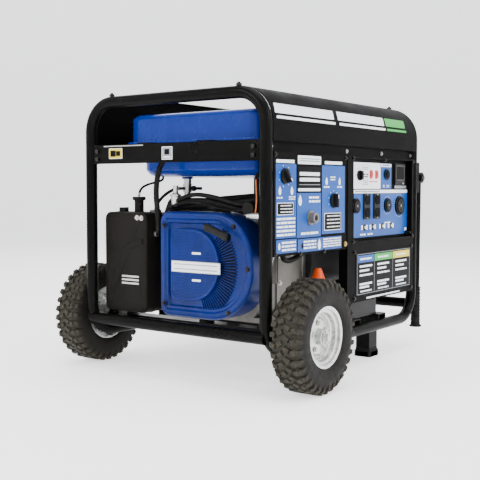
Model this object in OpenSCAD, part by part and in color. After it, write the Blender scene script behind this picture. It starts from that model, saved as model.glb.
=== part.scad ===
// Open-frame portable generator on two wheels, with a front control side.
// X runs from the engine end to the alternator end, the control panels face -Y
// and Z is up. The origin is on the floor, under the middle of the overall box.

/* [Frame] */
// Length of the tube frame, outside the two end hoops
frame_l = 750; // [700:10:900]
// Width of the tube frame
frame_w = 556; // [540:2:660]
// Height of the hoops above the floor
frame_h = 674; // [660:2:800]
// Diameter of the frame tube
tube_d = 28; // [25:1:32]
// Wall of the frame tube
tube_wall = 2; // [1.5:0.5:3]
// Centre-line radius of the tube bends
bend_r = 72; // [60:1:80]
// Height of the centre of the bottom side rails, lowered where a small wheel needs it
rail_height = 90; // [86:1:110]
// Height of the centre of the end cross tubes
cross_z = 126; // [120:1:134]

/* [Wheels] */
// Outside diameter of the tyres
tyre_d = 254; // [212:2:270]
// Width of the tyres
tyre_w = 82; // [70:1:95]
// Diameter of the wheel rims
rim_d = 130; // [110:2:150]
// Distance of the axle from the engine end of the frame
axle_in = 103; // [100:1:150]
// Gap between the frame and the inner side of a tyre
tyre_gap = 11; // [9:1:20]
// Diameter of the axle pins
axle_d = 16; // [12:1:18]

/* [Handles] */
// Height of the handle pivots
pivot_z = 480; // [470:2:520]
// Distance from a pivot to the free end of its handle
handle_l = 424; // [380:2:440]
// Diameter of the handle tubes
handle_d = 20; // [16:1:22]
// Distance of the pivots beyond the alternator end hoop
pivot_out = 24; // [24:1:40]
// Angle at which the hanging handles lean towards the frame
handle_lean = 1; // [0:0.2:1]

/* [Tank] */
// Length of the fuel tank
tank_l = 612; // [500:4:620]
// Width of the fuel tank
tank_w = 416; // [360:4:440]
// Height of the tank seam above the floor
seam_z = 562; // [556:1:566]
// Height of the upper half of the tank above its seam
tank_up = 72; // [60:1:78]
// Depth of the lower half of the tank below its seam
tank_down = 82; // [70:1:90]
// Thickness of the tank shells
tank_wall = 2; // [1.5:0.5:4]

/* [Panels] */
// Distance of the centre post from the engine end of the frame
post_in = 349; // [330:1:360]
// Width of the centre post
post_w = 22; // [18:1:28]
// Lowest edge of the fuel panel
fuel_panel_z = 302; // [290:1:320]
// Lowest edge of the power panel
power_panel_z = 314; // [308:1:330]
// Highest edge of both panels
panel_top_z = 530; // [520:1:531]
// Depth of the power panel's recess
recess = 15; // [10:1:20]
// Lowest edge of the lower fascia
fascia_z = 165; // [150:1:180]

/* [Engine] */
// Distance of the crankshaft from the front of the frame
crank_y_in = 212; // [208:1:240]
// Height of the crankshaft
crank_z = 276; // [274:1:290]
// Radius of the blower housing
blower_r = 140; // [130:1:144]
// Diameter of the crankshaft's main journals
journal_d = 35; // [28:1:40]
// Radius of the alternator's drum
drum_r = 122; // [100:1:124]
// Length of the alternator's drum
drum_l = 225; // [180:1:240]
// Angle of the cylinder above the horizontal
cyl_tilt = 25; // [15:1:28]

/* [Fits] */
// Radial clearance of a running fit
run_fit = 0.05; // [0.02:0.01:0.1]
// Gap around a piece that drops into an opening
gap = 0.3; // [0.2:0.05:0.4]

/* [Hidden] */
$fn = 64;
tube_r = tube_d / 2;
corner_r = bend_r + tube_r;
wheel_out = tyre_d / 2 - axle_in;
bracket_reach = 15;
overall_l = wheel_out + frame_l + pivot_out + bracket_reach;
x0 = wheel_out - overall_l / 2;
x1 = x0 + frame_l;
yf = -frame_w / 2;
wheel_z = tyre_d / 2;
rail_z = min(rail_height, wheel_z - axle_d / 2 - tube_r - 6);
rail_top = rail_z + tube_r;
member_w = 40;
member_h = 26;
member_top = rail_top + 14;
isolator_h = 19;
engine_z = member_top + isolator_h;
post_x = x0 + post_in;
post_x2 = post_x + post_w;
crank_y = yf + crank_y_in;
sheet = 1.5;
banner_z = panel_top_z + 23;
header_y = 12.5;
blower_x = x0 + 55;
blower_l = 62;
case_x = blower_x + blower_l + gap;
case_l = 208;
drum_x = case_x + case_l + 15;
bell_l = 58;
plate_y = yf + 2 + recess;
box_depth = 56;
seam_lip = 12;
tank_x = x0 + 78;
lower_in = 24;
pivot_x = x1 + pivot_out;
wheel_y = yf - tyre_gap - tyre_w / 2;
wheel_x = x0 + axle_in;
axle_end = tyre_gap + tyre_w - 1;
leg_x = x0 + 560;
leg_y = yf + 60;
leg_w = 44;
leg_d = 40;
foot_h = 16;
member_xs = [x0 + 170, x0 + 282, x0 + 420, leg_x];
cleaner_x = x0 + 36;
cleaner_y = yf + 380;
cleaner_z = 146;
cleaner_w = 140;
cleaner_d = 62;
cleaner_h = 246;
knob_y = yf + 4;
knob_r = 18;
shaft_d = 8;
grip_len = 112;
grip_d = 27;
grip_flange_d = 34;
grip_hub = [crank_y - 62, crank_z + 76];
louvre_n = 21;
louvre_from = 118;
carb_y = yf + 432;
carb_z = crank_z + 92;
cap_x = x0 + 420;
cap_y = -78;
cap_r = 36;
valve_x = x0 + 175;
valve_y = yf + 366;
oil_x = x0 + 310;
oil_y = yf + 62;
oil_z = 226;
battery_x = x0 + 397;
battery_size = [148, 66, 92];
battery_y = yf + 29;
battery_z = member_top + 2;
hub_d = 34;
hub_out = tyre_w / 2 - 11;
hub_in = tyre_w / 2 + tyre_gap - 2 - 2 * gap;
rim_w = tyre_w - 18;
rim_t = 2.4;
spec_w = 313;
spec_h = 106;
lug_t = 26;
fork_gap = handle_d + 1;
fork_plate = 3;
pin_d = 10;
bar_h = 46;
bar_top = seam_z - 3 - 3;
stub_l = 40;
spigot_l = 30;
neck_r = 26;
bore_d = 88;
deck = 100;
cyl_x = case_x + 96;
carb_top = 28;
bowl_r = 23;
carb_bore = 30;
bar_t = 3;
pole_w = 56;
box_wall = 3;
fuel_x = x0 + tube_d + gap;
fuel_w = post_x - gap - fuel_x;
fuel_h = panel_top_z - fuel_panel_z;
selector_at = [x0 + 72, 477];
shutoff_at = [x0 + 283, 421];
inlet_at = [x0 + 179, 383];
inlet_r = 17;
power_x = post_x2 + gap;
power_w = x1 - tube_d - gap - power_x;
power_h = panel_top_z - power_panel_z;
bezel = 10;
switch_at = [x0 + 434, 483];
rocker_at = [[x0 + 496, 486], [x0 + 526, 486]];
dc_at = [x0 + 584, 487];
meter_at = [x0 + 659, 488];
meter_w = 60;
meter_h = 58;
duplex_at = [[x0 + 472, 404], [x0 + 527, 404]];
duplex_w = 33;
duplex_h = 66;
round_at = [[x0 + 415, 406], [x0 + 589, 405]];
round_r = 19;
lock_at = [x0 + 662, 403];
lock_r = 26;
breaker_at = [[x0 + 462, 350], [x0 + 508, 350], [x0 + 562, 350], [x0 + 612, 350]];
breaker_d = 8;
breaker_travel = 2.5;
rocker_w = 12;
rocker_h = 22;

// ---- shared shapes -------------------------------------------------------

// A 2D outline of Y and Z, extruded along X from x
module along_x(x, len) {
  translate([x, 0, 0]) rotate([90, 0, 90]) linear_extrude(len) children();
}

// A 2D outline of X and Z, extruded along Y from y
module along_y(y, len) {
  translate([0, y + len, 0]) rotate([90, 0, 0]) linear_extrude(len) children();
}

module rod_x(x, y, z, d, len) {
  translate([x, y, z]) rotate([0, 90, 0]) cylinder(d = d, h = len);
}

module rod_y(x, y, z, d, len) {
  translate([x, y, z]) rotate([-90, 0, 0]) cylinder(d = d, h = len);
}

module block(x, y, z, size) {
  translate([x, y, z]) cube(size);
}

// Rectangle with round corners, from its lower left corner
module round_rect(w, h, r) {
  translate([r, 0]) square([w - 2 * r, h]);
  translate([0, r]) square([w, h - 2 * r]);
  for (x = [r, w - r], y = [r, h - r]) translate([x, y]) circle(r);
}

// The same piece on both sides of the middle plane
module both_sides() {
  children();
  mirror([0, 1, 0]) children();
}

// ---- tube frame ----------------------------------------------------------

// Path of the engine end hoop, drawn solid with diameter d
module hoop_path(d) {
  leg_y = frame_w / 2 - tube_r;
  low = rail_z + bend_r;
  high = frame_h - corner_r;
  both_sides() translate([tube_r, leg_y, 0]) {
    translate([0, 0, low]) cylinder(d = d, h = high - low);
    translate([bend_r, 0, low]) rotate([90, 0, 0]) rotate([0, 0, 180])
      rotate_extrude(angle = 90) translate([bend_r, 0]) circle(d = d);
    translate([0, -bend_r, high]) rotate([90, 0, 90])
      rotate_extrude(angle = 90) translate([bend_r, 0]) circle(d = d);
    rod_x(bend_r, 0, rail_z, d, stub_l);
  }
  rod_y(tube_r, -leg_y + bend_r, frame_h - tube_r, d, 2 * (leg_y - bend_r));
}

module hoop() {
  difference() {
    hoop_path(tube_d);
    hoop_path(tube_d - 2 * tube_wall);
    both_sides()
      rod_x(corner_r + stub_l - 1, frame_w / 2 - tube_r, rail_z,
            tube_d - 2 * tube_wall, 2);
  }
}

module at_alternator_end() {
  translate([x1, 0, 0]) mirror([1, 0, 0]) children();
}

module engine_end_hoop() {
  color("#1c1c1e") translate([x0, 0, 0]) hoop();
}

module alternator_end_hoop() {
  color("#1c1c1e") at_alternator_end() hoop();
}

// Bottom rails, with swaged ends that plug into the hoops
module side_rails() {
  start = x0 + corner_r + stub_l;
  len = frame_l - 2 * (corner_r + stub_l);
  spigot_d = tube_d - 2 * tube_wall - 0.1;
  color("#1c1c1e") both_sides() translate([start, frame_w / 2 - tube_r, rail_z])
    difference() {
      union() {
        rod_x(0, 0, 0, tube_d, len);
        rod_x(-spigot_l, 0, 0, spigot_d, len + 2 * spigot_l);
      }
      rod_x(-spigot_l - 1, 0, 0, spigot_d - 2 * tube_wall, len + 2 * spigot_l + 2);
    }
}

// End cross tubes and the four channels that carry engine and alternator
module cross_members() {
  span = frame_w - 2 * tube_r;
  color("#202022") {
    difference() {
      union() {
        rod_y(x0 + tube_r, -span / 2, cross_z, tube_d, span);
        rod_y(x1 - tube_r, -span / 2, cross_z, tube_d, span);
      }
      translate([x0, 0, 0]) hoop_path(tube_d);
      at_alternator_end() hoop_path(tube_d);
    }
    for (x = member_xs) difference() {
      block(x - member_w / 2, -span / 2, member_top - member_h,
            [member_w, span, member_h]);
      block(x - member_w / 2 + 3, -span / 2 - 1, member_top - member_h - 1,
            [member_w - 6, span + 2, member_h - 2]);
      both_sides() rod_x(x - member_w, frame_w / 2 - tube_r, rail_z,
                         tube_d, 2 * member_w);
    }
  }
}

module rubber_isolators() {
  waist = isolator_h / 2;
  color("#111111") for (x = member_xs, side = [-1, 1])
    translate([x, crank_y + side * isolator_y(x), member_top])
      rotate_extrude() difference() {
        translate([4, 0]) square([15, isolator_h]);
        translate([24, waist]) circle(7);
      }
}

// Half the distance between the two mounts on the channel at x
function isolator_y(x) = x < drum_x ? 88 : 60;

// Angle bars across the hoops and the brackets that hold the tank's lip
module tank_supports() {
  color("#1c1c1e") {
    tank_bar();
    at_alternator_end() translate([-x0, 0, 0]) tank_bar();
  }
  color("#242426") {
    tank_bracket(x0 + 16, tank_x + lower_in - 2);
    tank_bracket(tank_x + tank_l - lower_in + 2, x1 - 16);
  }
}

module tank_bar() {
  span = frame_w - 2 * tube_r;
  difference() {
    union() {
      block(x0 + 8, -span / 2, bar_top - bar_h, [bar_t, span, bar_h]);
      block(x0 + 8, -span / 2, bar_top - bar_t, [28, span, bar_t]);
    }
    translate([x0, 0, 0]) hoop_path(tube_d);
  }
}

module tank_bracket(xa, xb) {
  for (y = [-110, 70]) block(xa, y, bar_top, [xb - xa, 40, bar_t]);
}

// ---- sheet metal ---------------------------------------------------------

// Section of a top banner: over the hoop's corner and down its side
module banner_section(flat) {
  translate([corner_r, frame_h - corner_r]) intersection() {
    difference() {
      circle(corner_r, $fn = 128);
      circle(corner_r - sheet, $fn = 128);
    }
    translate([-corner_r, 0]) square(corner_r);
  }
  translate([corner_r, frame_h - sheet]) square([flat, sheet]);
  translate([0, banner_z]) square([sheet, frame_h - corner_r - banner_z]);
}

module banner() {
  end = tube_r + 7;
  translate([0, yf, 0]) {
    along_x(x0 + end, frame_l - 2 * end) banner_section(24);
    along_x(x0 + tube_d + gap, frame_l - 2 * tube_d - 2 * gap) {
      translate([0, banner_z]) square([header_y + sheet, sheet]);
      translate([header_y, panel_top_z + gap])
        square([sheet, banner_z - panel_top_z - gap]);
    }
  }
}

module front_banner() {
  color("#1a1a1b") banner();
}

module rear_banner() {
  color("#1a1a1b") mirror([0, 1, 0]) banner();
}

module centre_post() {
  color("#1c1c1e") difference() {
    block(post_x, yf + 2, rail_top, [post_w, 24, panel_top_z - rail_top]);
    block(post_x + 2, yf + 4, rail_top - 1, [post_w - 4, 24, panel_top_z - rail_top + 2]);
  }
}

module lower_fascia() {
  x = post_x2 + gap;
  w = x1 - tube_d - gap - x;
  h = power_panel_z - gap - fascia_z;
  color("#1a1a1b") difference() {
    block(x, yf + 2, fascia_z, [w, 22, h]);
    block(x + sheet, yf + 2 + sheet, fascia_z + sheet,
          [w - 2 * sheet, 22, h - 2 * sheet]);
  }
}

module spec_plate() {
  x = post_x2 + (x1 - tube_d - post_x2 - spec_w) / 2;
  color("#151515") along_y(yf + 1, 1) translate([x, fascia_z + 16])
    round_rect(spec_w, spec_h, 3);
}

// ---- standing and rolling parts -------------------------------------------

module support_legs() {
  top = member_top - member_h;
  color("#1c1c1e") both_sides()
    translate([leg_x - leg_w / 2, leg_y - leg_d / 2, 0]) difference() {
      block(0, 0, foot_h - 8, [leg_w, leg_d, top - foot_h + 8]);
      block(3, 3, foot_h - 9, [leg_w - 6, leg_d - 6, top - foot_h + 3]);
    }
}

module rubber_feet() {
  rim = 4;
  w = leg_w + 2 * rim;
  d = leg_d + 2 * rim;
  color("#101010") both_sides()
    translate([leg_x - w / 2, leg_y - d / 2, 0]) difference() {
      linear_extrude(foot_h) round_rect(w, d, 5);
      block(rim - 0.15, rim - 0.15, foot_h - 8, [leg_w + 0.3, leg_d + 0.3, 9]);
    }
}

// Axle lugs on the side rails and the forks that hold the handles
module welded_brackets() {
  color("#1c1c1e") both_sides() {
    difference() {
      along_y(yf, lug_t) {
        translate([wheel_x - 18, rail_z + 4]) square([36, wheel_z - rail_z - 4]);
        translate([wheel_x, wheel_z]) circle(18);
      }
      translate([x0, 0, 0]) hoop_path(tube_d);
      rod_y(wheel_x, yf - 1, wheel_z, axle_d, lug_t + 2);
    }
    handle_fork();
  }
}

module handle_fork() {
  h = 84;
  difference() {
    for (side = [-1, 1])
      along_y(yf + tube_r + side * (fork_gap + fork_plate) / 2 - fork_plate / 2,
              fork_plate) {
        translate([x1 - tube_r / 2 - 1, pivot_z - h / 2]) square([tube_r / 2 + 7, h]);
        translate([x1, pivot_z - 15]) square([pivot_out, 30]);
        translate([pivot_x, pivot_z]) circle(bracket_reach);
      }
    at_alternator_end() hoop_path(tube_d);
    rod_y(pivot_x, yf - 10, pivot_z, pin_d + 0.04, 50);
    block(x1 + 2, yf - 10, pivot_z - 10, [pivot_out - 11, 50, 20]);
  }
}

module axle_hardware() {
  color("#c9cbcd") both_sides() {
    rod_y(wheel_x, yf - axle_end, wheel_z, axle_d, axle_end + lug_t);
    rod_y(wheel_x, yf + lug_t, wheel_z, axle_d + 10, 5);
    for (y = [yf - 2 - gap, wheel_y - hub_out - 2 - gap])
      translate([wheel_x, y, wheel_z]) rotate([-90, 0, 0])
        washer(axle_d + 0.2, 30, 2);
    difference() {
      translate([wheel_x, yf - axle_end + 5, wheel_z - 15]) cylinder(d = 3, h = 30);
      rod_y(wheel_x, yf - axle_end, wheel_z, axle_d, 12);
    }
  }
}

module washer(id, od, h) {
  difference() {
    cylinder(d = od, h = h);
    translate([0, 0, -1]) cylinder(d = id, h = h + 2);
  }
}

// Half section of a wheel rim around its axis, drawn with Y across the wheel
module rim_section() {
  r = rim_d / 2;
  h = rim_w / 2;
  well = r - 12;
  translate([well, -h + 8]) square([rim_t, rim_w - 16]);
  for (s = [-1, 1]) {
    translate([well, s * (h - 8) - rim_t / 2]) square([12, rim_t]);
    translate([r - rim_t, s > 0 ? h - 8 : -h]) square([rim_t, 8]);
  }
  translate([hub_d / 2 - 1, -rim_t - 4]) square([well - hub_d / 2 + 2, rim_t]);
  translate([axle_d / 2 + run_fit, -hub_in])
    square([(hub_d - axle_d) / 2 - run_fit, hub_in + hub_out]);
}

module rim() {
  difference() {
    rotate([90, 0, 0]) rotate_extrude($fn = 96) rim_section();
    for (a = [0:60:300]) rotate([0, a, 0]) rod_y(33, -20, 0, 12, 40);
  }
}

// The tyre stays clear of the rim's flanges and touches their seats
module tyre_section() {
  r = tyre_d / 2;
  seat = rim_d / 2;
  half = (r - seat) / 2;
  difference() {
    translate([seat + half, 0]) scale_round(half, tyre_w / 2);
    translate([seat + half, 0]) scale_round(half - 12, tyre_w / 2 - 9);
    translate([0, -tyre_w]) square([seat, 2 * tyre_w]);
  }
}

// Rounded rectangle about the origin with half sizes a and b
module scale_round(a, b) {
  c = min(a, b) * 0.72;
  translate([-a, -b]) round_rect(2 * a, 2 * b, c);
}

module tyre() {
  rotate([90, 0, 0]) rotate_extrude($fn = 128) tyre_section();
}

module front_rim() { color("#c4c7ca") translate([wheel_x, wheel_y, wheel_z]) rim(); }
module back_rim() {
  color("#c4c7ca") mirror([0, 1, 0]) translate([wheel_x, wheel_y, wheel_z]) rim();
}
module front_tyre() { color("#202020") translate([wheel_x, wheel_y, wheel_z]) tyre(); }
module back_tyre() { color("#202020") translate([wheel_x, -wheel_y, wheel_z]) tyre(); }

// ---- handles --------------------------------------------------------------

module at_pivot(side) {
  translate([pivot_x, side * (frame_w / 2 - tube_r), pivot_z])
    rotate([0, handle_lean, 0]) children();
}

// Handle tube hanging from its pivot, with an eye around the pin
module handle(side) {
  at_pivot(side) difference() {
    union() {
      translate([0, 0, -handle_l + 3]) cylinder(d = handle_d, h = handle_l - 3);
      rod_y(0, -handle_d / 2, 0, handle_d + 4, handle_d);
    }
    translate([0, 0, -handle_l]) cylinder(d = handle_d - 4, h = handle_l - 16);
    rod_y(0, -handle_d, 0, pin_d + 2 * run_fit, 2 * handle_d);
  }
}

module handle_grip(side) {
  at_pivot(side) translate([0, 0, -handle_l]) difference() {
    union() {
      cylinder(d = grip_d, h = grip_len);
      cylinder(d = grip_flange_d, h = 4);
      translate([0, 0, grip_len - 4]) cylinder(d = grip_flange_d, h = 4);
    }
    translate([0, 0, 2.9]) cylinder(d = handle_d + 0.2, h = grip_len);
  }
}

module front_handle() { color("#1c1c1e") handle(-1); }
module front_handle_grip() { color("#141414") handle_grip(-1); }
module back_handle() { color("#1c1c1e") handle(1); }
module back_handle_grip() { color("#141414") handle_grip(1); }

// Hex bolts on the hoops, the tank bars and the pivots of the handles
module frame_bolts() {
  color("#2a2a2c") {
    for (x = [x0 + tube_r, x1 - tube_r], s = [-1, 1]) {
      translate([x, s * (frame_w / 2 - corner_r), frame_h]) {
        cylinder(d = 13, h = 5, $fn = 6);
        cylinder(d = 7, h = 8);
      }
    }
    for (s = [-1, 1], z = [bar_top - 15, bar_top - 34]) {
      for (x = [x0 + 3, x1 - 8])
        translate([x, s * (frame_w / 2 - 42), z]) rotate([0, 90, 0])
          cylinder(d = 11, h = 5, $fn = 6);
    }
    both_sides() {
      rod_y(pivot_x, yf + tube_r - fork_gap / 2 - fork_plate - 1, pivot_z, pin_d,
            fork_gap + 2 * fork_plate + 2);
      for (side = [-1, 1])
        translate([pivot_x, yf + tube_r + side * (fork_gap / 2 + fork_plate), pivot_z])
          rotate([-90 * side, 0, 0]) cylinder(d = 17, h = 5, $fn = 6);
    }
  }
}

// ---- fuel panel -------------------------------------------------------------

module fuel_panel() {
  color("#1f1f21") difference() {
    block(fuel_x, knob_y, fuel_panel_z, [fuel_w, 40, fuel_h]);
    block(fuel_x + 2, knob_y + 2, fuel_panel_z + 2, [fuel_w - 4, 36, fuel_h - 4]);
    for (p = [selector_at, shutoff_at])
      rod_y(p[0], knob_y - 1, p[1], shaft_d + 2 * run_fit, 4);
    rod_y(inlet_at[0], knob_y - 1, inlet_at[1], 2 * inlet_r - 8, 4);
  }
}

// Turning knob: a dial, a bar to hold and the shaft through the panel
module knob(p) {
  translate([p[0], knob_y, p[1]]) rotate([90, 0, 0]) {
    translate([0, 0, gap]) cylinder(r = knob_r, h = 5);
    translate([0, 0, gap + 5]) linear_extrude(9)
      translate([-knob_r + 1, -4.5]) round_rect(2 * knob_r - 2, 9, 3);
    translate([0, 0, -12]) cylinder(d = shaft_d, h = 12 + gap);
  }
}

module fuel_selector_knob() { color("#151515") knob(selector_at); }
module fuel_shutoff_knob() { color("#151515") knob(shutoff_at); }

module gas_inlet() {
  color("#9a9488") translate([inlet_at[0], knob_y, inlet_at[1]]) rotate([90, 0, 0])
    difference() {
      union() {
        translate([0, 0, -2]) cylinder(r = inlet_r - 4, h = 2);
        cylinder(r = inlet_r, h = 3);
        cylinder(r = inlet_r - 5, h = 16);
        translate([0, 0, -26]) cylinder(r = 9, h = 26);
      }
      translate([0, 0, -1]) cylinder(r = 7, h = 20);
    }
}

// ---- power panel ------------------------------------------------------------

module power_panel() {
  color("#1f1f21") difference() {
    block(power_x, yf + 2, power_panel_z, [power_w, recess + box_depth, power_h]);
    block(power_x + 2, yf + 1, power_panel_z + 4,
          [power_w - 2 - bezel, recess + 1, power_h - 8]);
    block(power_x + 2, plate_y + 2, power_panel_z + 2,
          [power_w - 4, box_depth - 4, power_h - 4]);
    rod_y(switch_at[0], plate_y - 1, switch_at[1], shaft_d + 2 * run_fit, 4);
    for (p = rocker_at)
      block(p[0] - rocker_w / 2 - gap, plate_y - 1, p[1] - rocker_h / 2 - 1,
            [rocker_w + 2 * gap, 4, rocker_h + 2]);
    for (p = breaker_at)
      rod_y(p[0], plate_y - 1, p[1], breaker_d + 2 * run_fit, 4);
    for (p = duplex_at)
      block(p[0] - duplex_w / 2 + 3, plate_y - 1, p[1] - duplex_h / 2 + 3,
            [duplex_w - 6, 4, duplex_h - 6]);
    for (p = round_at) rod_y(p[0], plate_y - 1, p[1], 2 * round_r - 8, 4);
    rod_y(lock_at[0], plate_y - 1, lock_at[1], 2 * lock_r - 8, 4);
    rod_y(dc_at[0], plate_y - 1, dc_at[1], 20, 4);
    block(meter_at[0] - meter_w / 2 + 3, plate_y - 1, meter_at[1] - meter_h / 2 + 3,
          [meter_w - 6, 4, meter_h - 6]);
  }
}

module engine_switch() {
  color("#1a1a1a") translate([switch_at[0], plate_y, switch_at[1]]) rotate([90, 0, 0]) {
    translate([0, 0, gap]) cylinder(r = 13, h = 4);
    translate([-3.5, -11, gap + 4]) cube([7, 22, 7]);
    translate([0, 0, -10]) cylinder(d = shaft_d, h = 10 + gap);
  }
}

// Rocker with a crowned face and its pivot bore, hinged level with the panel
module rocker(p) {
  color("#a01818") along_x(p[0] - rocker_w / 2, rocker_w) translate([plate_y, p[1]])
    difference() {
      intersection() {
        translate([-4, -rocker_h / 2]) square([12, rocker_h]);
        translate([19, 0]) circle(23);
      }
      circle(d = 3);
    }
}

module start_rocker() { rocker(rocker_at[0]); }
module idle_rocker() { rocker(rocker_at[1]); }

// Outlet faces with their bodies behind the panel, and the earth terminal
module receptacles() {
  color("#1b1b1b") {
    for (p = duplex_at) duplex(p);
    for (p = round_at) round_outlet(p, round_r);
    round_outlet(lock_at, lock_r);
    translate([dc_at[0], plate_y, dc_at[1]]) rotate([90, 0, 0]) difference() {
      union() {
        cylinder(r = 14, h = 3);
        translate([0, 0, -24]) cylinder(d = 20, h = 24);
      }
      translate([0, 0, -14]) cylinder(d = 12, h = 20);
    }
    for (p = breaker_at) translate([p[0], plate_y, p[1]]) rotate([90, 0, 0])
      washer(breaker_d + 1, 15, 2.5);
  }
  color("#b8a060") translate([x1 - tube_d - 20, plate_y, power_panel_z + 14])
    rotate([90, 0, 0]) {
    cylinder(d = 6, h = 16);
    translate([0, 0, 1]) cylinder(d = 13, h = 5, $fn = 6);
  }
}

module duplex(p) {
  difference() {
    union() {
      along_y(plate_y - 3, 3) translate([p[0] - duplex_w / 2, p[1] - duplex_h / 2])
        round_rect(duplex_w, duplex_h, 4);
      block(p[0] - duplex_w / 2 + 3, plate_y - 1, p[1] - duplex_h / 2 + 3,
            [duplex_w - 6, 26, duplex_h - 6]);
    }
    for (s = [-1, 1]) {
      for (t = [-1, 1])
        block(p[0] + t * 5 - 1, plate_y - 4, p[1] + s * 17 - 2, [2, 12, 8]);
      rod_y(p[0], plate_y - 4, p[1] + s * 17 - 7, 5, 12);
    }
  }
}

module round_outlet(p, r) {
  translate([p[0], plate_y, p[1]]) rotate([90, 0, 0]) difference() {
    union() {
      cylinder(r = r, h = 4);
      translate([0, 0, -28]) cylinder(r = r - 4, h = 29);
    }
    translate([0, 0, 2]) washer(2 * r - 12, 2 * r - 6, 3);
    for (a = [0:90:270]) rotate([0, 0, a + 45]) translate([r * 0.42, -3, -8]) cube([2, 6, 20]);
  }
}

module digital_meter() {
  color("#101214") {
    along_y(plate_y - 3, 3)
      translate([meter_at[0] - meter_w / 2, meter_at[1] - meter_h / 2])
        round_rect(meter_w, meter_h, 3);
    block(meter_at[0] - meter_w / 2 + 3, plate_y, meter_at[1] - meter_h / 2 + 3,
          [meter_w - 6, 22, meter_h - 6]);
  }
}

module breaker_button(i) {
  color("#dddddd") rod_y(breaker_at[i][0], plate_y - 3 - breaker_travel,
                         breaker_at[i][1], breaker_d, 16);
}

module breaker_button_1() { breaker_button(0); }
module breaker_button_2() { breaker_button(1); }
module breaker_button_3() { breaker_button(2); }
module breaker_button_4() { breaker_button(3); }

// ---- fuel tank ----------------------------------------------------------------

// Box with round plan corners whose long top edges are rounded as well
module loaf(x, w, l, z, h, plan_r, edge_r, up) {
  base = up ? z : z - h;
  extra = edge_r + 1;
  intersection() {
    translate([x, -w / 2, base]) linear_extrude(h) round_rect(l, w, plan_r);
    along_x(x - 1, l + 2) translate([-w / 2, up ? base - extra : base])
      round_rect(w, h + extra, edge_r);
    along_y(-w / 2 - 1, w + 2) translate([x, up ? base - extra : base])
      round_rect(l, h + extra, edge_r);
  }
}

module tank_lip(z, h) {
  translate([tank_x - seam_lip, -tank_w / 2 - seam_lip, z])
    linear_extrude(h) round_rect(tank_l + 2 * seam_lip, tank_w + 2 * seam_lip, 54);
}

module tank_upper_shell() {
  wall = tank_wall;
  top = seam_z + tank_up;
  color("#1b6fd1") difference() {
    union() {
      loaf(tank_x, tank_w, tank_l, seam_z, tank_up, 42, 30, true);
      tank_lip(seam_z, 3);
      translate([cap_x, cap_y, top - 4]) cylinder(r = neck_r, h = 12);
    }
    loaf(tank_x + wall, tank_w - 2 * wall, tank_l - 2 * wall,
         seam_z - 1, tank_up + 1 - wall, 42 - wall, 30 - wall, true);
    translate([cap_x, cap_y, top - 12]) cylinder(r = neck_r - 3, h = 30);
  }
}

module tank_lower_shell() {
  wall = tank_wall;
  w = tank_w - 2 * lower_in;
  l = tank_l - 2 * lower_in;
  color("#1a62bd") difference() {
    union() {
      loaf(tank_x + lower_in, w, l, seam_z, tank_down, 40, 26, false);
      tank_lip(seam_z - 3, 3);
      translate([valve_x, valve_y, seam_z - tank_down - 4]) cylinder(r = 14, h = 8);
    }
    loaf(tank_x + lower_in + wall, w - 2 * wall, l - 2 * wall,
         seam_z + 1, tank_down + 1 - wall, 40 - wall, 26 - wall, false);
    translate([valve_x, valve_y, seam_z - tank_down - 5]) cylinder(d = 10, h = 20);
  }
}

module fuel_cap() {
  top = seam_z + tank_up;
  color("#131313") difference() {
    union() {
      translate([cap_x, cap_y, top + gap]) cylinder(r = cap_r, h = 24);
      for (a = [0:60:300]) translate([cap_x, cap_y, top + gap]) rotate([0, 0, a])
        translate([cap_r - 3, -5, 0]) cube([6, 10, 24]);
    }
    translate([cap_x, cap_y, top - 1]) cylinder(r = neck_r + 2 * run_fit, h = 9.5);
  }
}

module fuel_valve() {
  z = seam_z - tank_down - 4;
  color("#b9bcc0") {
    difference() {
      union() {
        translate([valve_x, valve_y, z - 16]) cylinder(d = 20, h = 16, $fn = 6);
        translate([valve_x, valve_y, z - 36]) cylinder(d = 24, h = 22);
        translate([valve_x, valve_y, z - 56]) cylinder(d = 18, h = 22);
        rod_x(valve_x - 30, valve_y, z - 26, 8, 30);
      }
      rod_y(valve_x, valve_y - 30, z - 26, 6 + 2 * run_fit, 26);
    }
  }
}

module fuel_valve_lever() {
  z = seam_z - tank_down - 4;
  color("#202020") {
    rod_y(valve_x, valve_y - 20, z - 26, 6, 14);
    translate([valve_x, valve_y - 24, z - 26]) {
      rod_y(0, 0, 0, 14, 6);
      block(0, 0, -4, [30, 5, 8]);
    }
  }
}

// ---- hoses ---------------------------------------------------------------------

function unit(v) = v / norm(v);

// Points along a smooth curve through the hand-chosen ones
function spline_at(p, i, t) =
  let (
    a = p[max(i - 1, 0)],
    b = p[i],
    c = p[i + 1],
    d = p[min(i + 2, len(p) - 1)]
  )
  0.5 * ((2 * b) + (c - a) * t + (2 * a - 5 * b + 4 * c - d) * t * t
         + (3 * b - a - 3 * c + d) * t * t * t);

function smooth(p, steps) = concat(
  [for (i = [0:len(p) - 2], k = [0:steps - 1]) spline_at(p, i, k / steps)],
  [p[len(p) - 1]]
);

function ring_frame(dir) =
  let (
    side = abs(dir[2]) > 0.95 ? [1, 0, 0] : [0, 0, 1],
    u = unit(cross(dir, side))
  )
  [u, cross(dir, u)];

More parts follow.
